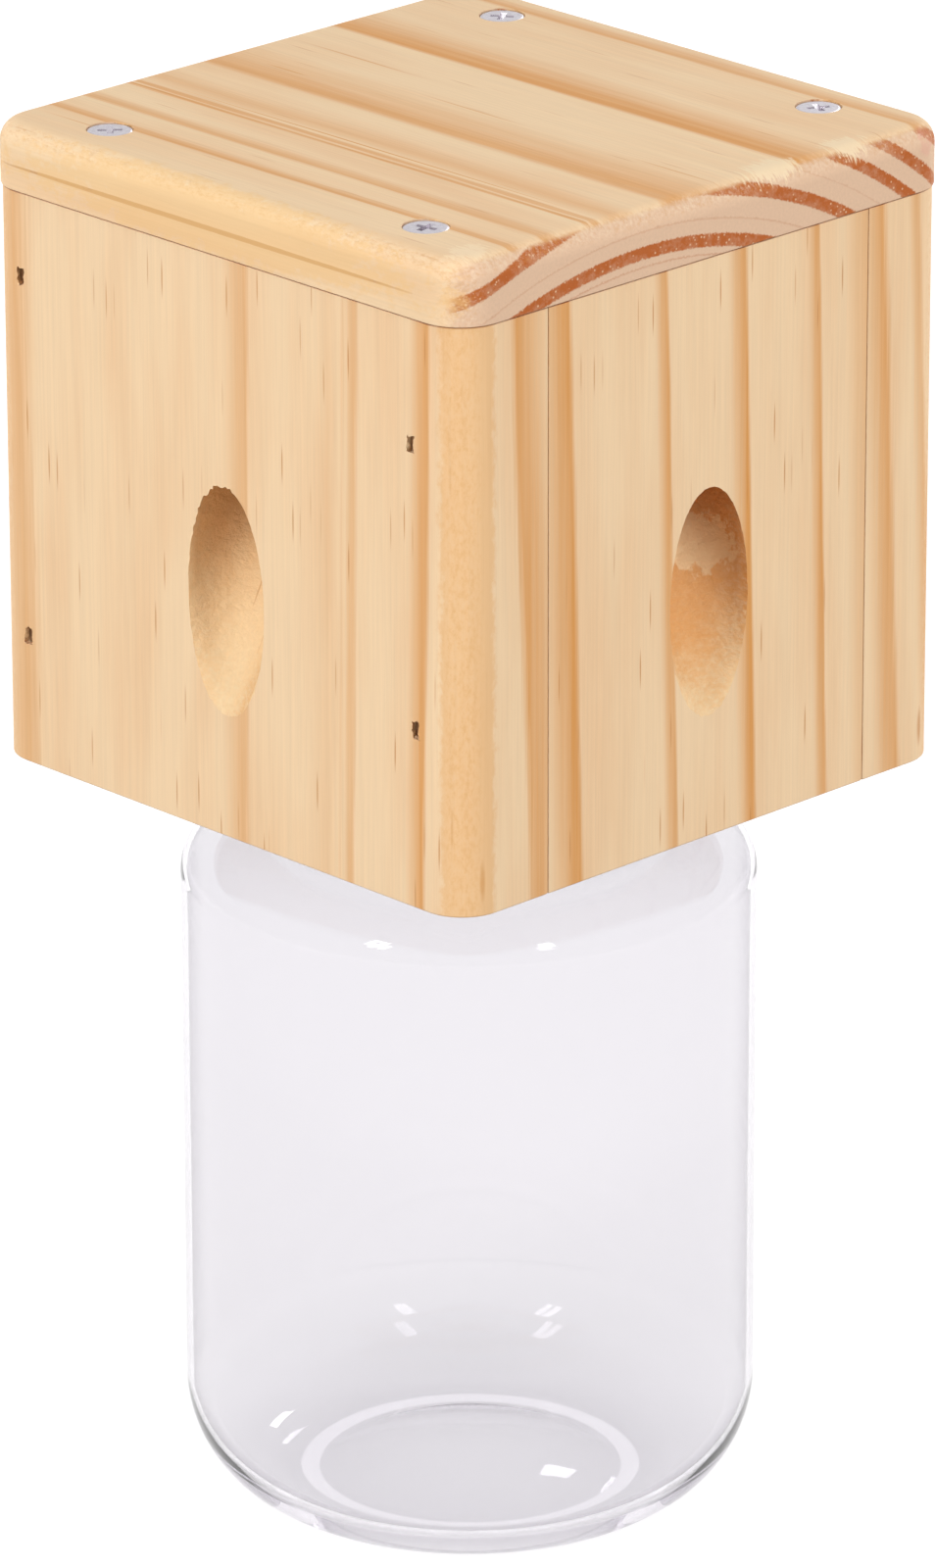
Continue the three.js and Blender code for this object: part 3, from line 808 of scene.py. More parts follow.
@dataclass(frozen=True)
class PlatedSteel:
    """Cold-formed steel with a thin bright plate, or left as drawn wire.

    Bright zinc plate gives the eye a cool lilac-grey mirror, faintly clouded. The brads' drawn
    wire is a dull brown, clouded darker.
    """

    name: str
    colour: str
    cloud: str
    roughness: float
    cloud_size: float = 1 / 1.4
    cloud_depth: float = 0.05

    def dress(self) -> bpy.types.Material:
        """Build the material.

        Returns:
            The finish of screws or brads.
        """
        material, tree, shader = new_material(self.name)
        place = add_node(tree, "TexCoord").outputs["Object"]
        cloud = add_node(tree, "TexNoise", {"Vector": place, "Scale": 1 / (self.cloud_size * MM),
                                            "Detail": 4.0, "Roughness": 0.6})
        colour = add_node(tree, "Mix", {0: cloud, COLOUR_A: linear(self.colour),
                                        COLOUR_B: linear(self.cloud)}, data_type="RGBA")
        rough = add_node(tree, "MapRange", (cloud, 0.0, 1.0, self.roughness - 0.08,
                                            self.roughness + 0.12))
        bump = add_node(tree, "Bump", {"Height": cloud, "Strength": 0.2,
                                       "Distance": self.cloud_depth * MM})
        set_sockets(shader, {"Base Color": colour, "Metallic": 1.0, "Roughness": rough,
                             "Normal": bump})
        return material


ZINC = PlatedSteel("zinc_plate", "#D9D4DA", "#A39DA6", 0.22)
BRAD_STEEL = PlatedSteel("brad_wire_steel", "#B08A66", "#6B4C34", 0.5)


@dataclass(frozen=True)
class MouldedPlastic:
    """White polypropylene from a spark-eroded mould.

    It gives the eye a satin, slightly waxy white. The mould's grain of about 0.05 mm is too
    fine to show in the render and is drawn 0.35 mm wide.
    """

    name: str = "moulded_polypropylene"
    colour: str = "#F1F1EC"
    shade: str = "#E9E9E3"
    roughness: float = 0.38
    index: float = 1.49
    grain: float = 0.35
    grain_depth: float = 0.05

    def dress(self) -> bpy.types.Material:
        """Build the material.

        Returns:
            The finish of the cap.
        """
        material, tree, shader = new_material(self.name)
        place = add_node(tree, "TexCoord").outputs["Object"]
        grain = add_node(tree, "TexNoise", {"Vector": place, "Scale": 1 / (self.grain * MM),
                                            "Detail": 3.0})
        tint = add_node(tree, "Mix", {0: grain, COLOUR_A: linear(self.colour),
                                      COLOUR_B: linear(self.shade)}, data_type="RGBA")
        bump = add_node(tree, "Bump", {"Height": grain, "Strength": 0.15,
                                       "Distance": self.grain_depth * MM})
        set_sockets(shader, {"Base Color": tint, "Roughness": self.roughness, "IOR": self.index,
                             "Normal": bump})
        return material


@dataclass(frozen=True)
class FoamSheet:
    """Polyethylene foam, die-cut from a sheet.

    It gives the eye a matt off-white with closed cells about half a millimetre wide.
    """

    name: str = "polyethylene_foam"
    colour: str = "#F4F2EC"
    shade: str = "#DDD9D0"
    roughness: float = 0.9
    cell: float = 0.5
    cell_depth: float = 0.1

    def dress(self) -> bpy.types.Material:
        """Build the material.

        Returns:
            The finish of the liner.
        """
        material, tree, shader = new_material(self.name)
        place = add_node(tree, "TexCoord").outputs["Object"]
        cells = add_node(tree, "TexVoronoi", {"Vector": place, "Scale": 1 / (self.cell * MM)})
        tint = add_node(tree, "Mix", {0: cells, COLOUR_A: linear(self.colour),
                                      COLOUR_B: linear(self.shade)}, data_type="RGBA")
        bump = add_node(tree, "Bump", {"Height": cells, "Strength": 0.4,
                                       "Distance": self.cell_depth * MM})
        set_sockets(shader, {"Base Color": tint, "Roughness": self.roughness, "Normal": bump})
        return material


@dataclass(frozen=True)
class ClearPolyester:
    """Clear polyester, blown against a polished mould.

    It gives the eye a clear glossy wall in slow waves, faintly lavender where it is thick. Its
    colour is painted darker where the wall is seen edge on, as painted shade, and its faint grey
    all over is a painted reflection of grey surroundings. So thin a wall hardly bends what is
    seen through it, which the low inner index stands for. The coat has the gloss of the real
    index.
    """

    name: str = "blown_clear_polyester"
    # A faint grey all over: painted reflection of grey surroundings
    tint: str = "#F1F0F2"
    # Painted shade where the wall is seen edge on
    edge_on_shade: str = "#C2BEC6"
    body_tint: str = "#C9C3CD"
    edge_from: float = 0.66
    edge_to: float = 0.92
    density: float = 28.0
    roughness: float = 0.02
    gloss: float = 0.72
    inner_index: float = 1.08
    gloss_index: float = 1.57
    wave: float = 22.0
    wave_depth: float = 0.6

    def dress(self) -> bpy.types.Material:
        """Build the material.

        Returns:
            The finish of the jar.
        """
        material, tree, shader = new_material(self.name)
        place = add_node(tree, "TexCoord").outputs["Object"]
        waves = add_node(tree, "TexNoise", {"Vector": place, "Scale": 1 / (self.wave * MM),
                                            "Detail": 1.0})
        bump = add_node(tree, "Bump", {"Height": waves, "Strength": 0.12,
                                       "Distance": self.wave_depth * MM})
        # Painted shade: the colour darkens towards where the wall is seen edge on
        slant = add_node(tree, "LayerWeight").outputs["Facing"]
        edge = add_node(tree, "MapRange", (slant, self.edge_from, self.edge_to, 0.0, 1.0),
                        interpolation_type="SMOOTHSTEP")
        shade = add_node(tree, "Mix", {0: edge, COLOUR_A: linear(self.tint),
                                       COLOUR_B: linear(self.edge_on_shade)}, data_type="RGBA")
        set_sockets(shader, {"Base Color": shade, "Roughness": self.roughness,
                             "IOR": self.inner_index, "Normal": bump, "Transmission Weight": 1.0,
                             "Coat Weight": self.gloss, "Coat Roughness": self.roughness,
                             "Coat IOR": self.gloss_index, "Coat Normal": bump})
        depth = add_node(tree, "VolumeAbsorption", {"Color": linear(self.body_tint),
                                                    "Density": self.density})
        set_sockets(tree.nodes["Material Output"], {"Volume": depth})
        return material


# ---- shaping


def block(size: Vector, centre: Vector) -> Mesh:
    """Make a box.

    Args:
        size: Its size along each axis.
        centre: Its middle.

    Returns:
        The box.
    """
    mesh = bmesh.new()
    bmesh.ops.create_cube(mesh, size=1.0)
    bmesh.ops.scale(mesh, vec=size, verts=mesh.verts)
    bmesh.ops.translate(mesh, vec=centre, verts=mesh.verts)
    return mesh


def rod(radius: float, length: float, centre: Vector, steps: int) -> Mesh:
    """Make an upright round rod.

    Args:
        radius: Its radius.
        length: Its length.
        centre: Its middle.
        steps: How many flat sides stand for the round.

    Returns:
        The rod.
    """
    mesh = bmesh.new()
    bmesh.ops.create_cone(mesh, cap_ends=True, segments=steps, radius1=radius, radius2=radius,
                          depth=length)
    bmesh.ops.translate(mesh, vec=centre, verts=mesh.verts)
    return mesh


def turn_mesh(mesh: Mesh, angle: float) -> Mesh:
    """Turn a mesh about Z by an angle in radians, and hand it back."""
    bmesh.ops.rotate(mesh, cent=(0, 0, 0), matrix=Matrix.Rotation(angle, 3, "Z"), verts=mesh.verts)
    return mesh


def fix_order(mesh: Mesh) -> None:
    """Put corners, edges and faces in one fixed order, as some operators leave another each run.

    Args:
        mesh: The shape, whose faces are made anew from the same corners.
    """
    ranked = sorted(mesh.verts, key=lambda vert: tuple(round(value, 4) for value in vert.co))
    for rank, vert in enumerate(ranked):
        vert.index = rank
    mesh.verts.sort()
    joined = sorted(mesh.edges, key=lambda edge: sorted(end.index for end in edge.verts))
    for rank, edge in enumerate(joined):
        edge.index = rank
    mesh.edges.sort()
    loops = []
    for face in mesh.faces:
        corners = list(face.verts)
        first = min(range(len(corners)), key=lambda place: corners[place].index)
        loops.append(corners[first:] + corners[:first])
    loops.sort(key=lambda corners: [corner.index for corner in corners])
    bmesh.ops.delete(mesh, geom=list(mesh.faces), context="FACES_ONLY")
    for corners in loops:
        mesh.faces.new(corners)


def lathe(outline: Sequence[tuple[float, float]], steps: int, closed: bool = False) -> Mesh:
    """Sweep an outline around Z.

    Args:
        outline: Points of [radius, height] in millimetres.
        steps: How many steps the full turn takes.
        closed: Whether the last point joins the first, as on a ring.

    Returns:
        The swept solid, its poles closed and its faces outwards.
    """
    mesh = bmesh.new()
    verts = [mesh.verts.new((radius, 0.0, height)) for radius, height in outline]
    pairs = list(zip(verts, verts[1:])) + ([(verts[-1], verts[0])] if closed else [])
    edges = [mesh.edges.new(pair) for pair in pairs]
    bmesh.ops.spin(mesh, geom=verts + edges, cent=(0, 0, 0), axis=(0, 0, 1), angle=FULL_TURN,
                   steps=steps, use_merge=True)
    bmesh.ops.remove_doubles(mesh, verts=mesh.verts, dist=LATHE_WELD)
    bmesh.ops.recalc_face_normals(mesh, faces=mesh.faces)
    fix_order(mesh)
    return mesh


def arc(centre: tuple[float, float], radii: tuple[float, float], start: float, end: float,
        steps: int) -> Outline:
    """Draw an elliptical arc.

    Args:
        centre: Its middle.
        radii: Its reach along each axis.
        start: The angle it starts at, in degrees.
        end: The angle it ends at, in degrees.
        steps: How many straight steps it takes.

    Returns:
        Its points.
    """
    (x, y), (wide, tall) = centre, radii
    angles = [math.radians(start + (end - start) * i / steps) for i in range(steps + 1)]
    return [(x + wide * math.cos(angle), y + tall * math.sin(angle)) for angle in angles]


def upright(radius: float, low: float, rise: float, steps: int) -> Outline:
    """Points in even steps up a straight wall."""
    return [(radius, low + rise * i / steps) for i in range(steps + 1)]


def dome(radius: float, rim: float, rise: float, steps: int = 14) -> Outline:
    """Points from the middle of a shallow dome out to its rim."""
    return [(radius * i / steps, rim + rise * (1 - (i / steps) ** 2)) for i in range(steps + 1)]


def set_radius(vert: Vert, radius: float) -> None:
    """Move a corner straight in or out to another radius about Z."""
    now = math.hypot(vert.co.x, vert.co.y)
    vert.co.x, vert.co.y = vert.co.x * radius / now, vert.co.y * radius / now


def edges_where(mesh: Mesh, test: Callable[[Vector, Vector], bool]) -> list[Edge]:
    """The edges whose two ends pass a test."""
    return [edge for edge in mesh.edges if test(edge.verts[0].co, edge.verts[1].co)]


def round_edges(mesh: Mesh, edges: Iterable[Edge], radius: float, segments: int) -> None:
    """Round the given edges with a true radius."""
    bmesh.ops.bevel(mesh, geom=list(edges), offset=radius, offset_type="OFFSET", segments=segments,
                    profile=0.5, affect="EDGES", material=-1)


def to_object(mesh: Mesh, name: str, materials: Iterable[bpy.types.Material]) -> bpy.types.Object:
    """Link a mesh to the scene as an object.

    Args:
        mesh: The shape, which is freed.
        name: The object's name.
        materials: Its materials, in the order of its slots.

    Returns:
        The new object.
    """
    data = bpy.data.meshes.new(name)
    mesh.to_mesh(data)
    mesh.free()
    for material in materials:
        data.materials.append(material)
    result = bpy.data.objects.new(name, data)
    bpy.context.scene.collection.objects.link(result)
    return result


def carve(mesh: Mesh, cutters: Sequence[Mesh], surface: bpy.types.Material,
          cut_surface: bpy.types.Material) -> Mesh:
    """Cut shapes out of a solid, so that the cut faces take a material of their own.

    Args:
        mesh: The solid.
        cutters: The shapes that are cut away.
        surface: Material of the outside, the first slot.
        cut_surface: Material of the cut faces, the second slot.

    Returns:
        The cut solid, with material places 0 and 1.
    """
    fix_order(mesh)
    solid = to_object(mesh, "uncut", (surface, cut_surface))
    tools = []
    for cutter in cutters:
        fix_order(cutter)
        for face in cutter.faces:
            face.material_index = 1
        tools.append(to_object(cutter, "cutter", (surface, cut_surface)))
    for tool in tools:
        cut = solid.modifiers.new("cut", "BOOLEAN")
        cut.operation, cut.solver, cut.object = "DIFFERENCE", "MANIFOLD", tool
    graph = bpy.context.evaluated_depsgraph_get()
    result = bmesh.new()
    evaluated = solid.evaluated_get(graph)
    result.from_mesh(evaluated.to_mesh())
    evaluated.to_mesh_clear()
    for used in (solid, *tools):
        data = used.data
        bpy.data.objects.remove(used)
        bpy.data.meshes.remove(data)
    bmesh.ops.remove_doubles(result, verts=result.verts, dist=WELD)
    return result


def finish(mesh: Mesh, name: str, materials: Sequence[bpy.types.Material], body: Body,
           replaces: str, weighted: bool = True) -> bpy.types.Object:
    """Turn a shape to metres and make it a piece that rides on its body.

    Args:
        mesh: The shape in millimetres.
        name: The piece's name.
        materials: Its materials.
        body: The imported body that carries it.
        replaces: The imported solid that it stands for.
        weighted: Whether large faces keep flat shading up to their rounded edges.

    Returns:
        The finished piece.
    """
    bmesh.ops.scale(mesh, vec=(MM, MM, MM), verts=mesh.verts)
    piece = to_object(mesh, name, materials)
    piece.data.shade_smooth()
    piece.data.set_sharp_from_angle(angle=SHARP_ANGLE)
    if weighted:
        even = piece.modifiers.new("even_shading", "WEIGHTED_NORMAL")
        even.keep_sharp = True
    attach(piece, body.value)
    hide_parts(replaces)
    return piece


def dress_packed(node: str, material: bpy.types.Material) -> None:
    """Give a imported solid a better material.

    Args:
        node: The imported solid's name.
        material: Its new and only material.
    """
    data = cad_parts[node].data
    data.materials.clear()
    data.materials.append(material)


def rough_cut(mesh: Mesh, amount: float, grain: float, seed: float) -> None:
    """Push a cutter's corners about, so that what it cuts has torn edges.

    Args:
        mesh: The cutter.
        amount: How far a corner moves at most, in millimetres.
        grain: Width of one tear, in millimetres.
        seed: Offset that makes each cutter's tears its own.
    """
    shift = Vector((seed, 2 * seed, 3 * seed))
    for vert in mesh.verts:
        vert.co += noise.noise_vector(vert.co / grain + shift) * amount


# ---- sub-assemblies


@dataclass
class Wall:
    """One side board of the box, with its slanted entry hole and its fasteners' holes.

    Its tears are in millimetres: how far fibres are torn out, and how deep into the hole.
    """

    node: str
    facing: Facing
    pine: Pine
    corner_radius: float = 0.0
    entry_offset: float = 0.0
    entry_diameter: float = 16.6
    entry_tilt: float = 62.5
    entry_roof_land: float = 1.6
    seam_ease: float = 0.07
    seam_angle: float = 50.0
    rim_ease: float = 0.35
    upper_tear: float = 0.25
    lower_tear: float = 0.5
    tear_reach: float = 1.1
    # Tears are about 1 mm wide and 2 mm long, and the chips in them half a millimetre
    tear_grain: Trio = (0.9, 0.9, 0.45)
    chip_grain: Trio = (2.2, 2.2, 1.6)
    lip_wear: float = 0.45
    wear_reach: float = 0.7
    drill_wobble: float = 0.05
    corner_steps: int = 12
    bore_steps: int = 96
    bore_rings: int = 90
    pilot_radius: float = 1.75
    pilot_room: float = 0.6
    # A slot has room beside the brad, and ends short of its ends
    brad_room: Trio = (0.12, 0.12, -0.35)
    pocket: Trio = (1.5, 3.6, 2.7)
    pocket_lift: float = 0.2
    pocket_tear: float = 0.6
    pocket_grain: float = 0.9

    def build(self, screws: Sequence[str], brads: Sequence[str]) -> bpy.types.Object:
        """Shape, drill and dress the board.

        Args:
            screws: Packed roof screws that may pass through it.
            brads: Packed brads that may pass through it.

        Returns:
            The finished board.
        """
        planed, bored = self.pine.dress(), self.pine.drilled().dress()
        cutters = [self._entry_cutter(), *self._screw_cutters(screws), *self._brad_cutters(brads)]
        mesh = carve(self._board(), cutters, planed, bored)
        return finish(mesh, f"{self.node}_board", (planed, bored), Body.BOX, self.node)

    def _own_box(self) -> tuple[Vector, Vector]:
        """Find the board's corners in the frame where it faces -Y.

        Returns:
            Its lowest and its highest corner.
        """
        low, high = extent(self.node)
        turn = Matrix.Rotation(-math.radians(self.facing.value), 3, "Z")
        ends = (turn @ low, turn @ high)
        return Vector(map(min, *ends)), Vector(map(max, *ends))

    def _board(self) -> Mesh:
        """Shape the board before it is drilled.

        Returns:
            The board with its edges rounded, turned its own way.
        """
        low, high = self._own_box()
        middle = (low + high) / 2
        mesh = block(high - low, middle)
        if self.corner_radius:
            corners = edges_where(mesh, lambda a, b: abs(a.z - b.z) > 1 and a.y < middle.y)
            round_edges(mesh, corners, self.corner_radius, self.corner_steps)
        rim = edges_where(mesh, lambda a, b: max(a.z, b.z) < low.z + ON_PLANE)
        round_edges(mesh, rim, self.rim_ease, 3)
        steep = math.radians(self.seam_angle)
        seams = [edge for edge in mesh.edges if edge.is_manifold and edge.calc_face_angle() > steep]
        round_edges(mesh, seams, self.seam_ease, 1)
        return turn_mesh(mesh, math.radians(self.facing.value))

    def _entry_cutter(self) -> Mesh:
        """Shape the drill's path, rising inwards, with torn fibres at its mouth.

        Returns:
            The cutter, turned the board's own way.
        """
        low, high = self._own_box()
        thickness = high.y - low.y
        tilt = math.radians(self.entry_tilt)
        radius = self.entry_diameter / 2
        mouth = radius / math.cos(tilt)
        inner_z = high.z - self.entry_roof_land - mouth
        middle = Vector((self.entry_offset, (low.y + high.y) / 2,
                         inner_z - thickness * math.tan(tilt) / 2))
        reach = thickness / (2 * math.cos(tilt)) + radius * math.tan(tilt) + 1
        mesh = rod(radius, 2 * reach, Vector(), self.bore_steps)
        long_edges = edges_where(mesh, lambda a, b: abs(a.z - b.z) > reach)
        bmesh.ops.subdivide_edges(mesh, edges=long_edges, cuts=self.bore_rings, use_grid_fill=True)
        turn = Matrix.Rotation(tilt - math.pi / 2, 3, "X")
        axis = turn @ Vector((0, 0, 1))
        for vert in mesh.verts:
            place = turn @ vert.co
            out = (place - axis * place.dot(axis)).normalized()
            place += middle
            vert.co = place + out * self._tear(place, out, low.y)
        return turn_mesh(mesh, math.radians(self.facing.value))

    def _tear(self, place: Vector, out: Vector, face: float) -> float:
        """Find how far the wood is torn out at a place on the drill's path.

        Args:
            place: The place, in the frame where the board faces -Y.
            out: Direction away from the drill's axis.
            face: Y of the outer face.

        Returns:
            A length to add to the drill's radius, in millimetres.
        """
        depth = max(0.0, place.y - face)
        coarse = Vector([at * size for at, size in zip(place, self.tear_grain)])
        fibres = noise.noise(coarse + out * 2)
        fine = noise.noise(Vector([at * size for at, size in zip(place, self.chip_grain)]))
        chips = max(0.0, fibres + 0.6 * fine + 0.1) * math.exp(-depth / self.tear_reach)
        upper_left = max(0.0, out.z) * max(0.0, 0.5 - out.x)
        lower = max(0.0, -out.z)
        worn = self.lip_wear * lower * math.exp(-depth / self.wear_reach)
        torn = chips * (2 * self.upper_tear * upper_left + self.lower_tear * lower)
        return self.drill_wobble * fine + self.drill_wobble * fibres + torn + worn

    def _touches(self, low: Vector, high: Vector) -> bool:
        """Whether a box reaches into this board."""
        own_low, own_high = extent(self.node)
        return all(high[i] > own_low[i] and low[i] < own_high[i] for i in range(3))

    def _screw_cutters(self, screws: Sequence[str]) -> list[Mesh]:
        """Shape the pilot holes of the roof screws that go down into this board.

        Args:
            screws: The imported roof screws.

        Returns:
            A cutter for each that does.
        """
        spans = [span for span in map(extent, screws) if self._touches(*span)]
        return [rod(self.pilot_radius, high.z - low.z + self.pilot_room, (low + high) / 2,
                    PILOT_STEPS) for low, high in spans]

    def _brad_cutters(self, brads: Sequence[str]) -> list[Mesh]:
        """Shape the brads' slots, each with a torn pocket where its head went in.

        Args:
            brads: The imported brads.

        Returns:
            The cutters of those that go into this board.
        """
        cutters = []
        face = abs(extent("front_wall")[0].y)
        for index, node in enumerate(brads):
            low, high = extent(node)
            if not self._touches(low, high):
                continue
            middle = (low + high) / 2
            cutters.append(block(high - low + 2 * Vector(self.brad_room), middle))
            if self.facing in (Facing.FRONT, Facing.BACK):
                side = -1 if low.y < 0 else 1
                middle.y = side * (face + self.pocket_lift)
                pocket = block(Vector(self.pocket), middle)
                bmesh.ops.subdivide_edges(pocket, edges=pocket.edges, cuts=5, use_grid_fill=True)
                rough_cut(pocket, self.pocket_tear, self.pocket_grain, index * 1.7)
                cutters.append(pocket)
        return cutters


@dataclass
class RoofBoard:
    """The screwed-on roof: square, its corners rounded and its top edges routed over."""

    node: str = "roof_board"
    corner_radius: float = 7.3
    roundover: float = 3.5
    under_ease: float = 0.3
    head_radius: float = 3.62
    head_depth: float = 2.4
    head_land: float = 0.35
    shank_radius: float = 1.8
    shank_depth: float = 20.0
    overrun: float = 2.0
    pine: Pine = ROOF_PINE

    def build(self, screws: Sequence[str]) -> bpy.types.Object:
        """Shape, countersink and dress the roof.

        Args:
            screws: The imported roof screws.

        Returns:
            The finished roof.
        """
        planed, bored = self.pine.dress(), self.pine.drilled().dress()
        mesh = carve(self._board(), self._cutters(screws), planed, bored)
        return finish(mesh, "roof_board_panel", (planed, bored), Body.BOX, self.node)

    def _board(self) -> Mesh:
        """Shape the roof before it is drilled.

        Returns:
            The board with its corners and edges rounded.
        """
        low, high = extent(self.node)
        mesh = block(high - low, (low + high) / 2)
        corners = edges_where(mesh, lambda a, b: abs(a.z - b.z) > 1)
        round_edges(mesh, corners, self.corner_radius, 12)
        top = edges_where(mesh, lambda a, b: min(a.z, b.z) > high.z - ON_PLANE)
        round_edges(mesh, top, self.roundover, 9)
        under = edges_where(mesh, lambda a, b: max(a.z, b.z) < low.z + ON_PLANE)
        round_edges(mesh, under, self.under_ease, 2)
        return mesh

    def _cutters(self, screws: Sequence[str]) -> list[Mesh]:
        """Shape a countersink and a shank hole for each screw.

        Args:
            screws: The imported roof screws.

        Returns:
            One cutter for each.
        """
        top = extent(self.node)[1].z
        outline = [(0.0, -self.shank_depth), (self.shank_radius, -self.shank_depth),
                   (self.shank_radius, -self.head_depth), (self.head_radius, -self.head_land),
                   (self.head_radius + 0.12, self.overrun), (0.0, self.overrun)]
        cutters = []
        for index, node in enumerate(screws):
            low, high = extent(node)
            middle = (low + high) / 2
            mesh = lathe(outline, 48)
            rough_cut(mesh, 0.05, 1.0, index)
            bmesh.ops.translate(mesh, vec=(middle.x, middle.y, top), verts=mesh.verts)
            cutters.append(mesh)
        return cutters


@dataclass
class FloorBoard:
    """The floor under the cavity, with the drop hole through its middle."""

    node: str = "floor_board"
    drop_hole_radius: float = 19.5
    ease: float = 0.3
    pilot_radius: float = 1.5
    pilot_room: float = 0.6
    pine: Pine = FLOOR_PINE

    def build(self, screws: Sequence[str]) -> bpy.types.Object:
        """Shape, drill and dress the floor.

        Args:
            screws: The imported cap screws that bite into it.

        Returns:
            The finished floor board.
        """
        planed, bored = self.pine.dress(), self.pine.drilled().dress()
        low, high = extent(self.node)
        middle = (low + high) / 2
        mesh = block(high - low, middle)
        round_edges(mesh, mesh.edges, self.ease, 2)
        cutters = [rod(self.drop_hole_radius, 2 * (high.z - low.z), Vector((0, 0, middle.z)), 96)]
        for foot, head in map(extent, screws):
            cutters.append(rod(self.pilot_radius, head.z - foot.z + self.pilot_room,
                               (foot + head) / 2, PILOT_STEPS))
        mesh = carve(mesh, cutters, planed, bored)
        return finish(mesh, "floor_board_panel", (planed, bored), Body.BOX, self.node)


@dataclass
class RoofScrew:
    """A countersunk wood screw with a cross recess, its head flush with the roof."""

    node: str
    spin: float
    head_radius: float = 3.5
    shank_radius: float = 1.6
    rim: float = 0.3
    point: float = 4.0
    tip: float = 1.2
    recess_span: float = 4.3
    recess_width: float = 1.15
    recess_depth: float = 1.9
    recess_foot: float = 0.18
    recess_overrun: float = 0.2

    def build(self, material: bpy.types.Material) -> bpy.types.Object:
        """Turn the screw, cut its recess and dress it.

        Args:
            material: The plated steel.

        Returns:
            The finished screw.
        """
        low, high = extent(self.node)
        mesh = carve(self._blank(high.z - low.z), self._recess(), material, material)
        turn_mesh(mesh, math.radians(self.spin))
        place = ((low.x + high.x) / 2, (low.y + high.y) / 2, high.z)
        bmesh.ops.translate(mesh, vec=place, verts=mesh.verts)
        return finish(mesh, f"{self.node}_body", (material,), Body.BOX, self.node)

    def _blank(self, length: float) -> Mesh:
        """Turn the screw without its recess.

        Args:
            length: From the head's top to the point.

        Returns:
            The blank, its head's top at the origin.
        """
        head, shank = self.head_radius, self.shank_radius
        outline = [(0.0, -length), (shank * 0.35, -length + self.tip),
                   (shank, self.point - length), (shank, shank - head - self.rim),
                   (head - 0.08, -self.rim), (head, -self.rim * 0.7), (head - 0.04, -0.08),
                   (head - 0.16, -0.01), (head - 0.5, 0.0), (0.0, 0.0)]
        return lathe(outline, 64)

    def _recess(self) -> list[Mesh]:
        """Shape the two tapered slots of the cross.

        Returns:
            A cutter for each slot.
        """
        slots = []
        for quarter in (0.0, math.pi / 2):
            mesh = bmesh.new()
            bmesh.ops.create_cone(mesh, cap_ends=True, segments=4,
                                  radius1=self.recess_span * self.recess_foot,
                                  radius2=self.recess_span / math.sqrt(2),
                                  depth=self.recess_depth + 2 * self.recess_overrun)
            turn_mesh(mesh, math.pi / 4)
            flat = self.recess_width / self.recess_span
            bmesh.ops.scale(mesh, vec=(1, flat, 1), verts=mesh.verts)
            turn_mesh(mesh, quarter)
            bmesh.ops.translate(mesh, vec=(0, 0, self.recess_overrun - self.recess_depth / 2),
                                verts=mesh.verts)
            slots.append(mesh)
        return slots


@dataclass(frozen=True)
class Thread:
    """A single-start ridge that climbs round a wall of a screw cap or jar neck."""

    start: float
    lead: float = 4.2
    turns: float = 400 / 360
    height: float = 1.3
    root: float = 1.6
    crest: float = 0.8
    runout: float = 0.08

    def rise(self, angle: float, height: float) -> float:
        """Find how far the ridge stands proud at a place on the wall.

        Args:
            angle: Angle about the axis, in radians.
            height: Height above the base, in millimetres.

        Returns:
            The ridge's rise there, in millimetres.
        """
        first = (angle % FULL_TURN) / FULL_TURN
        most = 0.0
        for turn in range(math.ceil(self.turns)):
            passed = first + turn
            if passed > self.turns:
                break
            share = passed / self.turns
            fade = min(1.0, share / self.runout, (1 - share) / self.runout)
            away = abs(height - self.start - self.lead * passed)
            flank = (self.root / 2 - away) / ((self.root - self.crest) / 2)
            most = max(most, self.height * fade * max(0.0, min(1.0, flank)))
        return most


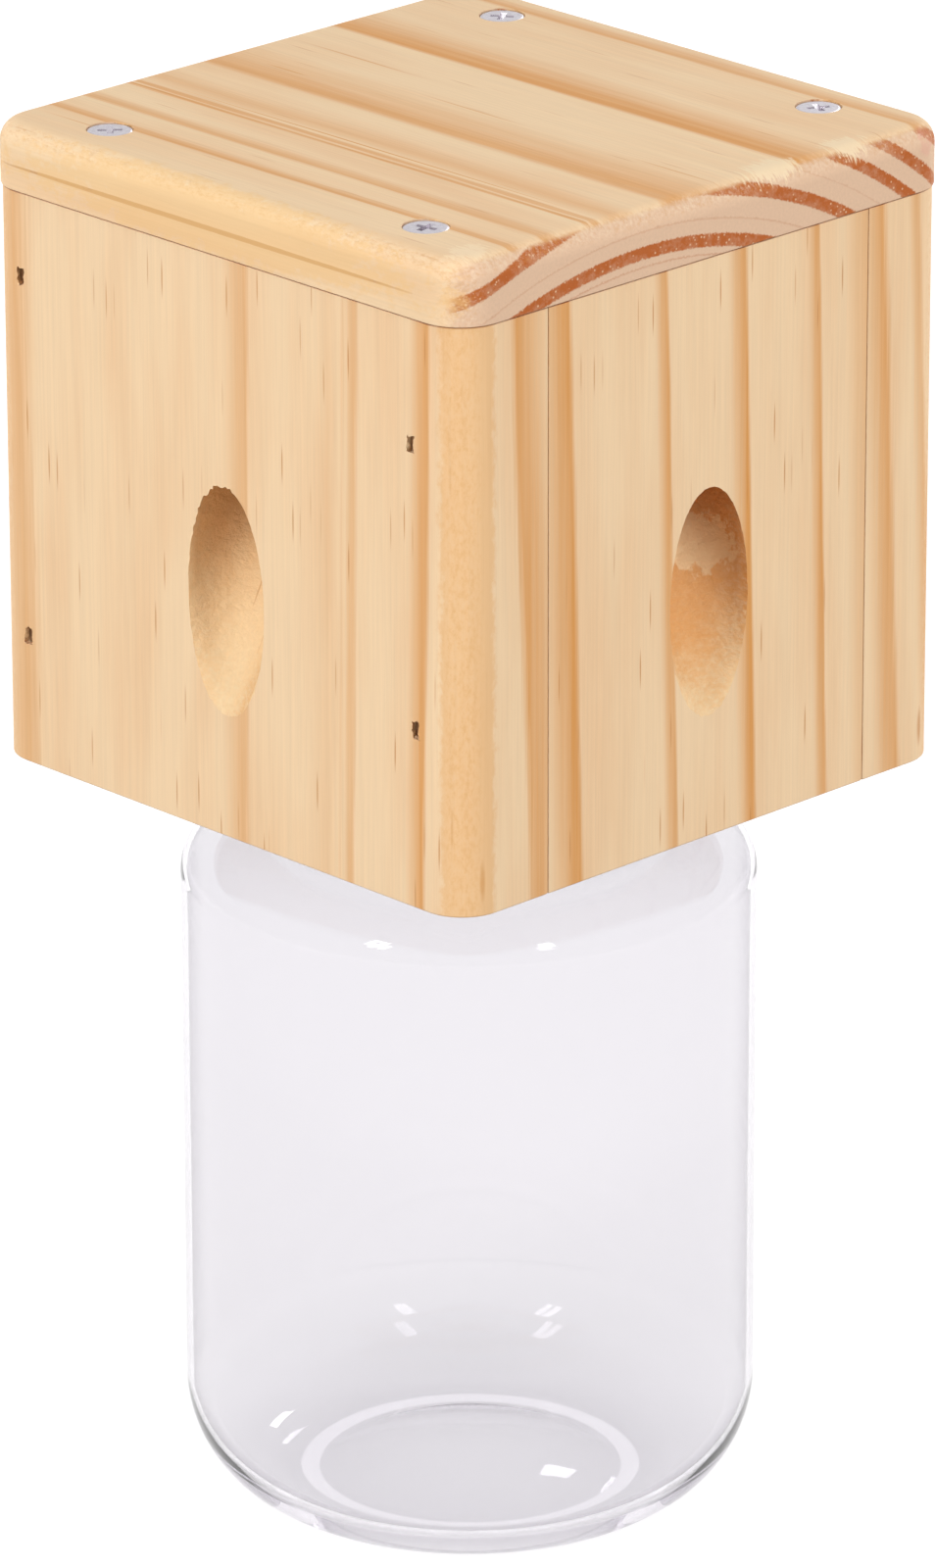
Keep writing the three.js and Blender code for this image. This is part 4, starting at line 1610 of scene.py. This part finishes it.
@dataclass
class Cap:
    """The ribbed cap that is screwed up under the floor, open through its plate.

    Its steps are fine enough for every rib to have six of them.
    """

    node: str = "jar_cap"
    plate: float = 1.6
    bead: float = 0.8
    drop_hole_radius: float = 19.5
    hole_ease: float = 0.2
    rim_ease: float = 0.3
    inner_radius: float = 31.6
    ribs: int = 72
    rib_depth: float = 0.5
    rib_curve: float = 0.6
    rib_foot: float = 1.3
    rib_top: float = 1.0
    steps: int = 432
    thread: Thread = Thread(116.54)

    def build(self) -> bpy.types.Object:
        """Turn the cap, raise its thread and ribs, and dress it.

        Returns:
            The finished cap.
        """
        low, high = extent(self.node)
        mesh = lathe(self._outline(high.x, low.z, high.z), self.steps, closed=True)
        for vert in mesh.verts:
            self._shape(vert, high.x, low.z + self.rib_foot, high.z - self.rib_top)
        white = MouldedPlastic().dress()
        return finish(mesh, "jar_cap_shell", (white,), Body.BOX, self.node,
                      weighted=False)

    def _outline(self, outer: float, low: float, high: float) -> Outline:
        """Draw the cap's section, from the hole through the plate and round the skirt.

        Args:
            outer: The skirt's outer radius.
            low: Height of its lower edge.
            high: Height of the plate's top.

        Returns:
            The section's points.
        """
        plate, hole, bore = high - self.plate, self.drop_hole_radius, self.inner_radius
        inside = upright(bore, low + 0.4, plate - low - 1.0, 44)
        outside = upright(outer, low + 1.4, high - low - 3.2, 6)
        return [
            (hole, high - self.hole_ease), (hole, plate + self.hole_ease),
            (hole + self.hole_ease, plate), (bore - 0.6, plate), *reversed(inside),
            (bore + self.rim_ease, low), (outer - self.rim_ease, low), (outer, low + self.rim_ease),
            (outer, low + 1.0), (outer, low + 1.2), *outside,
            *arc((outer - self.bead, high - self.bead), (self.bead, self.bead), 0, 90, 6),
            (hole + self.hole_ease, high),
        ]

    def _shape(self, vert: Vert, outer: float, low: float, high: float) -> None:
        """Move one corner of the turned cap onto its thread or between its ribs.

        Args:
            vert: The corner.
            outer: The skirt's outer radius.
            low: Height where the ribs start.
            high: Height where they end.
        """
        x, y, z = vert.co
        radius, angle = math.hypot(x, y), math.atan2(y, x)
        if abs(radius - self.inner_radius) < ON_PLANE:
            set_radius(vert, radius - self.thread.rise(angle, z))
        elif abs(radius - outer) < ON_PLANE and low < z < high:
            groove = max(0.0, math.cos(self.ribs * angle)) ** self.rib_curve
            set_radius(vert, radius - self.rib_depth * groove)


@dataclass
class Liner:
    """The foam ring between the cap's plate and the jar's rim."""

    node: str = "cap_liner"
    inner_radius: float = 26.8
    edge: float = 0.18

    def build(self) -> bpy.types.Object:
        """Turn and dress the ring.

        Returns:
            The finished ring.
        """
        low, high = extent(self.node)
        outer, inner, edge = high.x, self.inner_radius, self.edge
        outline = [(inner, low.z + edge), (inner + edge, low.z),
                   (outer - edge, low.z), (outer, low.z + edge),
                   (outer, high.z - edge), (outer - edge, high.z),
                   (inner + edge, high.z), (inner, high.z - edge)]
        mesh = lathe(outline, 160, closed=True)
        foam = FoamSheet().dress()
        ring = finish(mesh, "cap_liner_ring", (foam,), Body.LINER, self.node)
        return ring


@dataclass
class Jar:
    """The clear jar: pushed-up base, deep heel, straight body, round shoulder, threaded neck."""

    node: str = "jar"
    wall: float = 1.1
    heel_width: float = 18.0
    heel_height: float = 19.0
    standing_ring: float = 3.0
    push_up: float = 2.8
    floor_ring_radius: float = 28.0
    floor_ring_height: float = 4.2
    floor_dome: float = 0.8
    shoulder_start: float = 104.0
    shoulder_rise: float = 9.2
    neck_radius: float = 29.9
    neck_wall: float = 1.8
    lip: float = 0.5
    steps: int = 180
    thread: Thread = Thread(118.6333)

    def build(self) -> bpy.types.Object:
        """Turn the jar, raise its thread and dress it.

        Returns:
            The finished jar.
        """
        high = extent(self.node)[1]
        inside = self._inside(high.x - self.wall, high.z)
        mesh = lathe([*self._outside(high.x, high.z), *reversed(inside)], self.steps)
        neck_root = self.shoulder_start + self.shoulder_rise
        for vert in mesh.verts:
            x, y, z = vert.co
            radius = math.hypot(x, y)
            if abs(radius - self.neck_radius) < ON_PLANE and z > neck_root:
                set_radius(vert, radius + self.thread.rise(math.atan2(y, x), z))
        clear = ClearPolyester().dress()
        return finish(mesh, "jar_shell", (clear,), Body.JAR, self.node,
                      weighted=False)

    def _outside(self, body: float, top: float) -> Outline:
        """Draw the outside, from the middle of the base up to the rim.

        Args:
            body: Outer radius of the straight body.
            top: Height of the rim.

        Returns:
            The outline's points.
        """
        heel, neck = body - self.heel_width, self.neck_radius
        neck_root = self.shoulder_start + self.shoulder_rise
        return [
            *dome(heel - self.standing_ring, 0.0, self.push_up), (heel - 0.8, 0.0),
            *arc((heel, self.heel_height), (self.heel_width, self.heel_height), -90, 0, 40),
            *upright(body, self.heel_height, self.shoulder_start - self.heel_height, 12)[1:-1],
            *arc((neck, self.shoulder_start), (body - neck, self.shoulder_rise), 0, 86, 28),
            *upright(neck, neck_root + 0.3, top - neck_root - 0.9, 60),
            *arc((neck - self.lip, top - self.lip), (self.lip, self.lip), 10, 90, 5),
        ]

    def _inside(self, body: float, top: float) -> Outline:
        """Draw the inside, from the middle of the floor up to the rim.

        Args:
            body: Inner radius of the straight body.
            top: Height of the rim.

        Returns:
            The outline's points.
        """
        ring, neck = self.floor_ring_radius, self.neck_radius - self.neck_wall
        floor = self.floor_ring_height
        return [
            *dome(ring, floor, self.floor_dome),
            *arc((ring, self.heel_height), (body - ring, self.heel_height - floor), -90, 0, 40)[1:],
            *upright(body, self.heel_height, self.shoulder_start - self.heel_height, 12)[1:-1],
            *arc((neck, self.shoulder_start), (body - neck, self.shoulder_rise - self.wall), 0, 90,
                 28),
            *arc((neck + self.lip, top - self.lip), (self.lip, self.lip), 180, 90, 5),
        ]


# ---- studio


@dataclass(frozen=True)
class Lamp:
    """A soft box, aimed at the middle of the object. Angles are in degrees, sizes in metres."""

    name: str
    azimuth: float
    elevation: float
    distance: float
    size: float
    power: float
    height: float = 0.0
    glossy: bool = True

    def build(self, target: Vector) -> None:
        """Hang the lamp and aim it.

        Args:
            target: The place it shines at.
        """
        data = bpy.data.lights.new(self.name, "AREA")
        data.shape, data.energy = "RECTANGLE", self.power
        data.size, data.size_y = self.size, self.height or self.size
        lamp = bpy.data.objects.new(self.name, data)
        turn, tilt = math.radians(self.azimuth), math.radians(self.elevation)
        away = Vector((math.sin(turn) * math.cos(tilt), -math.cos(turn) * math.cos(tilt),
                       math.sin(tilt)))
        lamp.location = target + away * self.distance
        lamp.rotation_mode = "QUATERNION"
        lamp.rotation_quaternion = away.to_track_quat("Z", "Y")
        lamp.visible_camera = False
        lamp.visible_glossy = lamp.visible_transmission = self.glossy
        bpy.context.scene.collection.objects.link(lamp)


@dataclass
class Studio:
    """A pale floor under soft light, and the camera where the photographer stood."""

    target: Vector
    eye: Trio = (1.05033, -1.01953, 0.67777)
    look: Trio = (-0.00012, -0.00012, 0.11753)
    roll: float = -0.147
    lens: float = 231.46
    sensor: float = 36.0
    sight: float = 100.0
    floor_size: float = 12.0
    floor_glow: float = 0.84
    glow_from: float = 0.3
    glow_to: float = 1.4
    floor_colour: str = "#A3A1A3"
    floor_roughness: float = 0.9
    sky: float = 0.3
    lamps: tuple[Lamp, ...] = (
        Lamp("front_soft_light", -6.0, 12.0, 1.6, 0.9, 13.0, glossy=False),
        Lamp("side_soft_light", 98.0, 12.0, 1.6, 0.9, 11.8, glossy=False),
        Lamp("back_soft_light", 180.0, 8.0, 1.6, 0.9, 8.5, glossy=False),
        Lamp("left_soft_light", -95.0, 8.0, 1.6, 0.9, 8.5, glossy=False),
        Lamp("front_window", 1.2, 57.0, 1.5, 0.08, 2.3, height=1.2),
        Lamp("front_window_twin", 6.6, 56.0, 1.5, 0.08, 2.3, height=1.2),
        Lamp("side_window", 81.0, 58.0, 1.5, 0.14, 3.5, height=1.2),
        Lamp("back_window", 214.0, 27.0, 1.5, 0.1, 0.8, height=0.14),
    )

    def build(self) -> None:
        """Lay the floor, hang the lamps and set the camera."""
        self._floor()
        self._sky()
        for lamp in self.lamps:
            lamp.build(self.target)
        self._camera()
        bpy.context.scene.view_settings.view_transform = "Standard"

    def _camera(self) -> None:
        """Stand the camera where the photograph was taken."""
        data = bpy.data.cameras.new("camera")
        data.lens, data.sensor_width, data.clip_end = self.lens, self.sensor, self.sight
        camera = bpy.data.objects.new("camera", data)
        camera.location = Vector(self.eye)
        level = (Vector(self.look) - Vector(self.eye)).to_track_quat("-Z", "Y")
        camera.rotation_mode = "QUATERNION"
        camera.rotation_quaternion = level @ Quaternion((0, 0, 1), math.radians(self.roll))
        bpy.context.scene.collection.objects.link(camera)
        bpy.context.scene.camera = camera

    def _floor(self) -> None:
        """Lay a pale floor that shows white and keeps a soft shadow."""
        mesh = bmesh.new()
        bmesh.ops.create_grid(mesh, x_segments=1, y_segments=1, size=self.floor_size / 2)
        material, tree, shader = new_material("pale_floor")
        place = add_node(tree, "TexCoord").outputs["Object"]
        away = add_node(tree, "VectorMath", (place,), operation="LENGTH")
        level = add_node(tree, "MapRange", (away, self.glow_from, self.glow_to,
                                            self.floor_glow, 1.0))
        glow = add_node(tree, "Math", (level, self._seen(tree)), operation="MULTIPLY")
        set_sockets(shader, {"Base Color": linear(self.floor_colour),
                             "Roughness": self.floor_roughness, "Specular IOR Level": 0.0,
                             "Emission Color": WHITE, "Emission Strength": glow})
        to_object(mesh, "floor", (material,))

    def _seen(self, tree: Tree) -> Node:
        """Pick out the rays that the eye follows straight, by reflection or through glass.

        Args:
            tree: The nodes of the floor or the sky.

        Returns:
            One for such a ray and zero for any other.
        """
        path = add_node(tree, "LightPath")
        mirrored = add_node(tree, "Math", (path.outputs["Is Camera Ray"],
                                           path.outputs["Is Glossy Ray"]), operation="MAXIMUM")
        return add_node(tree, "Math", (mirrored, path.outputs["Is Transmission Ray"]),
                        operation="MAXIMUM")

    def _sky(self) -> None:
        """Shed even light from all round, which the eye sees as white."""
        world = bpy.data.worlds.new("studio_sky")
        world.use_nodes = True
        bpy.context.scene.world = world
        tree = world.node_tree
        strength = add_node(tree, "MapRange", (self._seen(tree), 0.0, 1.0, self.sky, 1.0))
        set_sockets(tree.nodes["Background"], {"Color": WHITE, "Strength": strength})


def named(prefix: str) -> list[str]:
    """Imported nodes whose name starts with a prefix."""
    return sorted(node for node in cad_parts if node.startswith(prefix))


def main() -> None:
    """Build the trap piece by piece, then the studio around it."""
    logging.basicConfig(level=logging.INFO, format="%(name)s: %(message)s")
    noise.seed_set(TEAR_SEED)
    roof_screws = named("roof_screw")
    cap_screws = named("cap_screw")
    brads = named("front_brad") + named("back_brad")
    walls = (
        Wall("front_wall", Facing.FRONT, FRONT_PINE, corner_radius=7.0, entry_offset=1.3,
             upper_tear=0.9),
        Wall("right_wall", Facing.RIGHT, RIGHT_PINE, upper_tear=0.05),
        Wall("back_wall", Facing.BACK, BACK_PINE, corner_radius=7.0),
        Wall("left_wall", Facing.LEFT, LEFT_PINE),
    )
    pieces = [wall.build(roof_screws, brads) for wall in walls]
    pieces.append(RoofBoard().build(roof_screws))
    pieces.append(FloorBoard().build(cap_screws))
    zinc, steel = ZINC.dress(), BRAD_STEEL.dress()
    pieces += [RoofScrew(node, spin).build(zinc) for node, spin in zip(roof_screws, SCREW_SPINS)]
    for nodes, metal in ((cap_screws, zinc), (brads, steel)):
        for node in nodes:
            dress_packed(node, metal)
    pieces += [Cap().build(), Liner().build(), Jar().build()]
    for piece in pieces:
        LOG.info("%s: %d faces", piece.name, len(piece.data.polygons))
    low, high = CAD_BOX
    Studio((low + high) / 2).build()


if __name__ == "__main__":
    main()
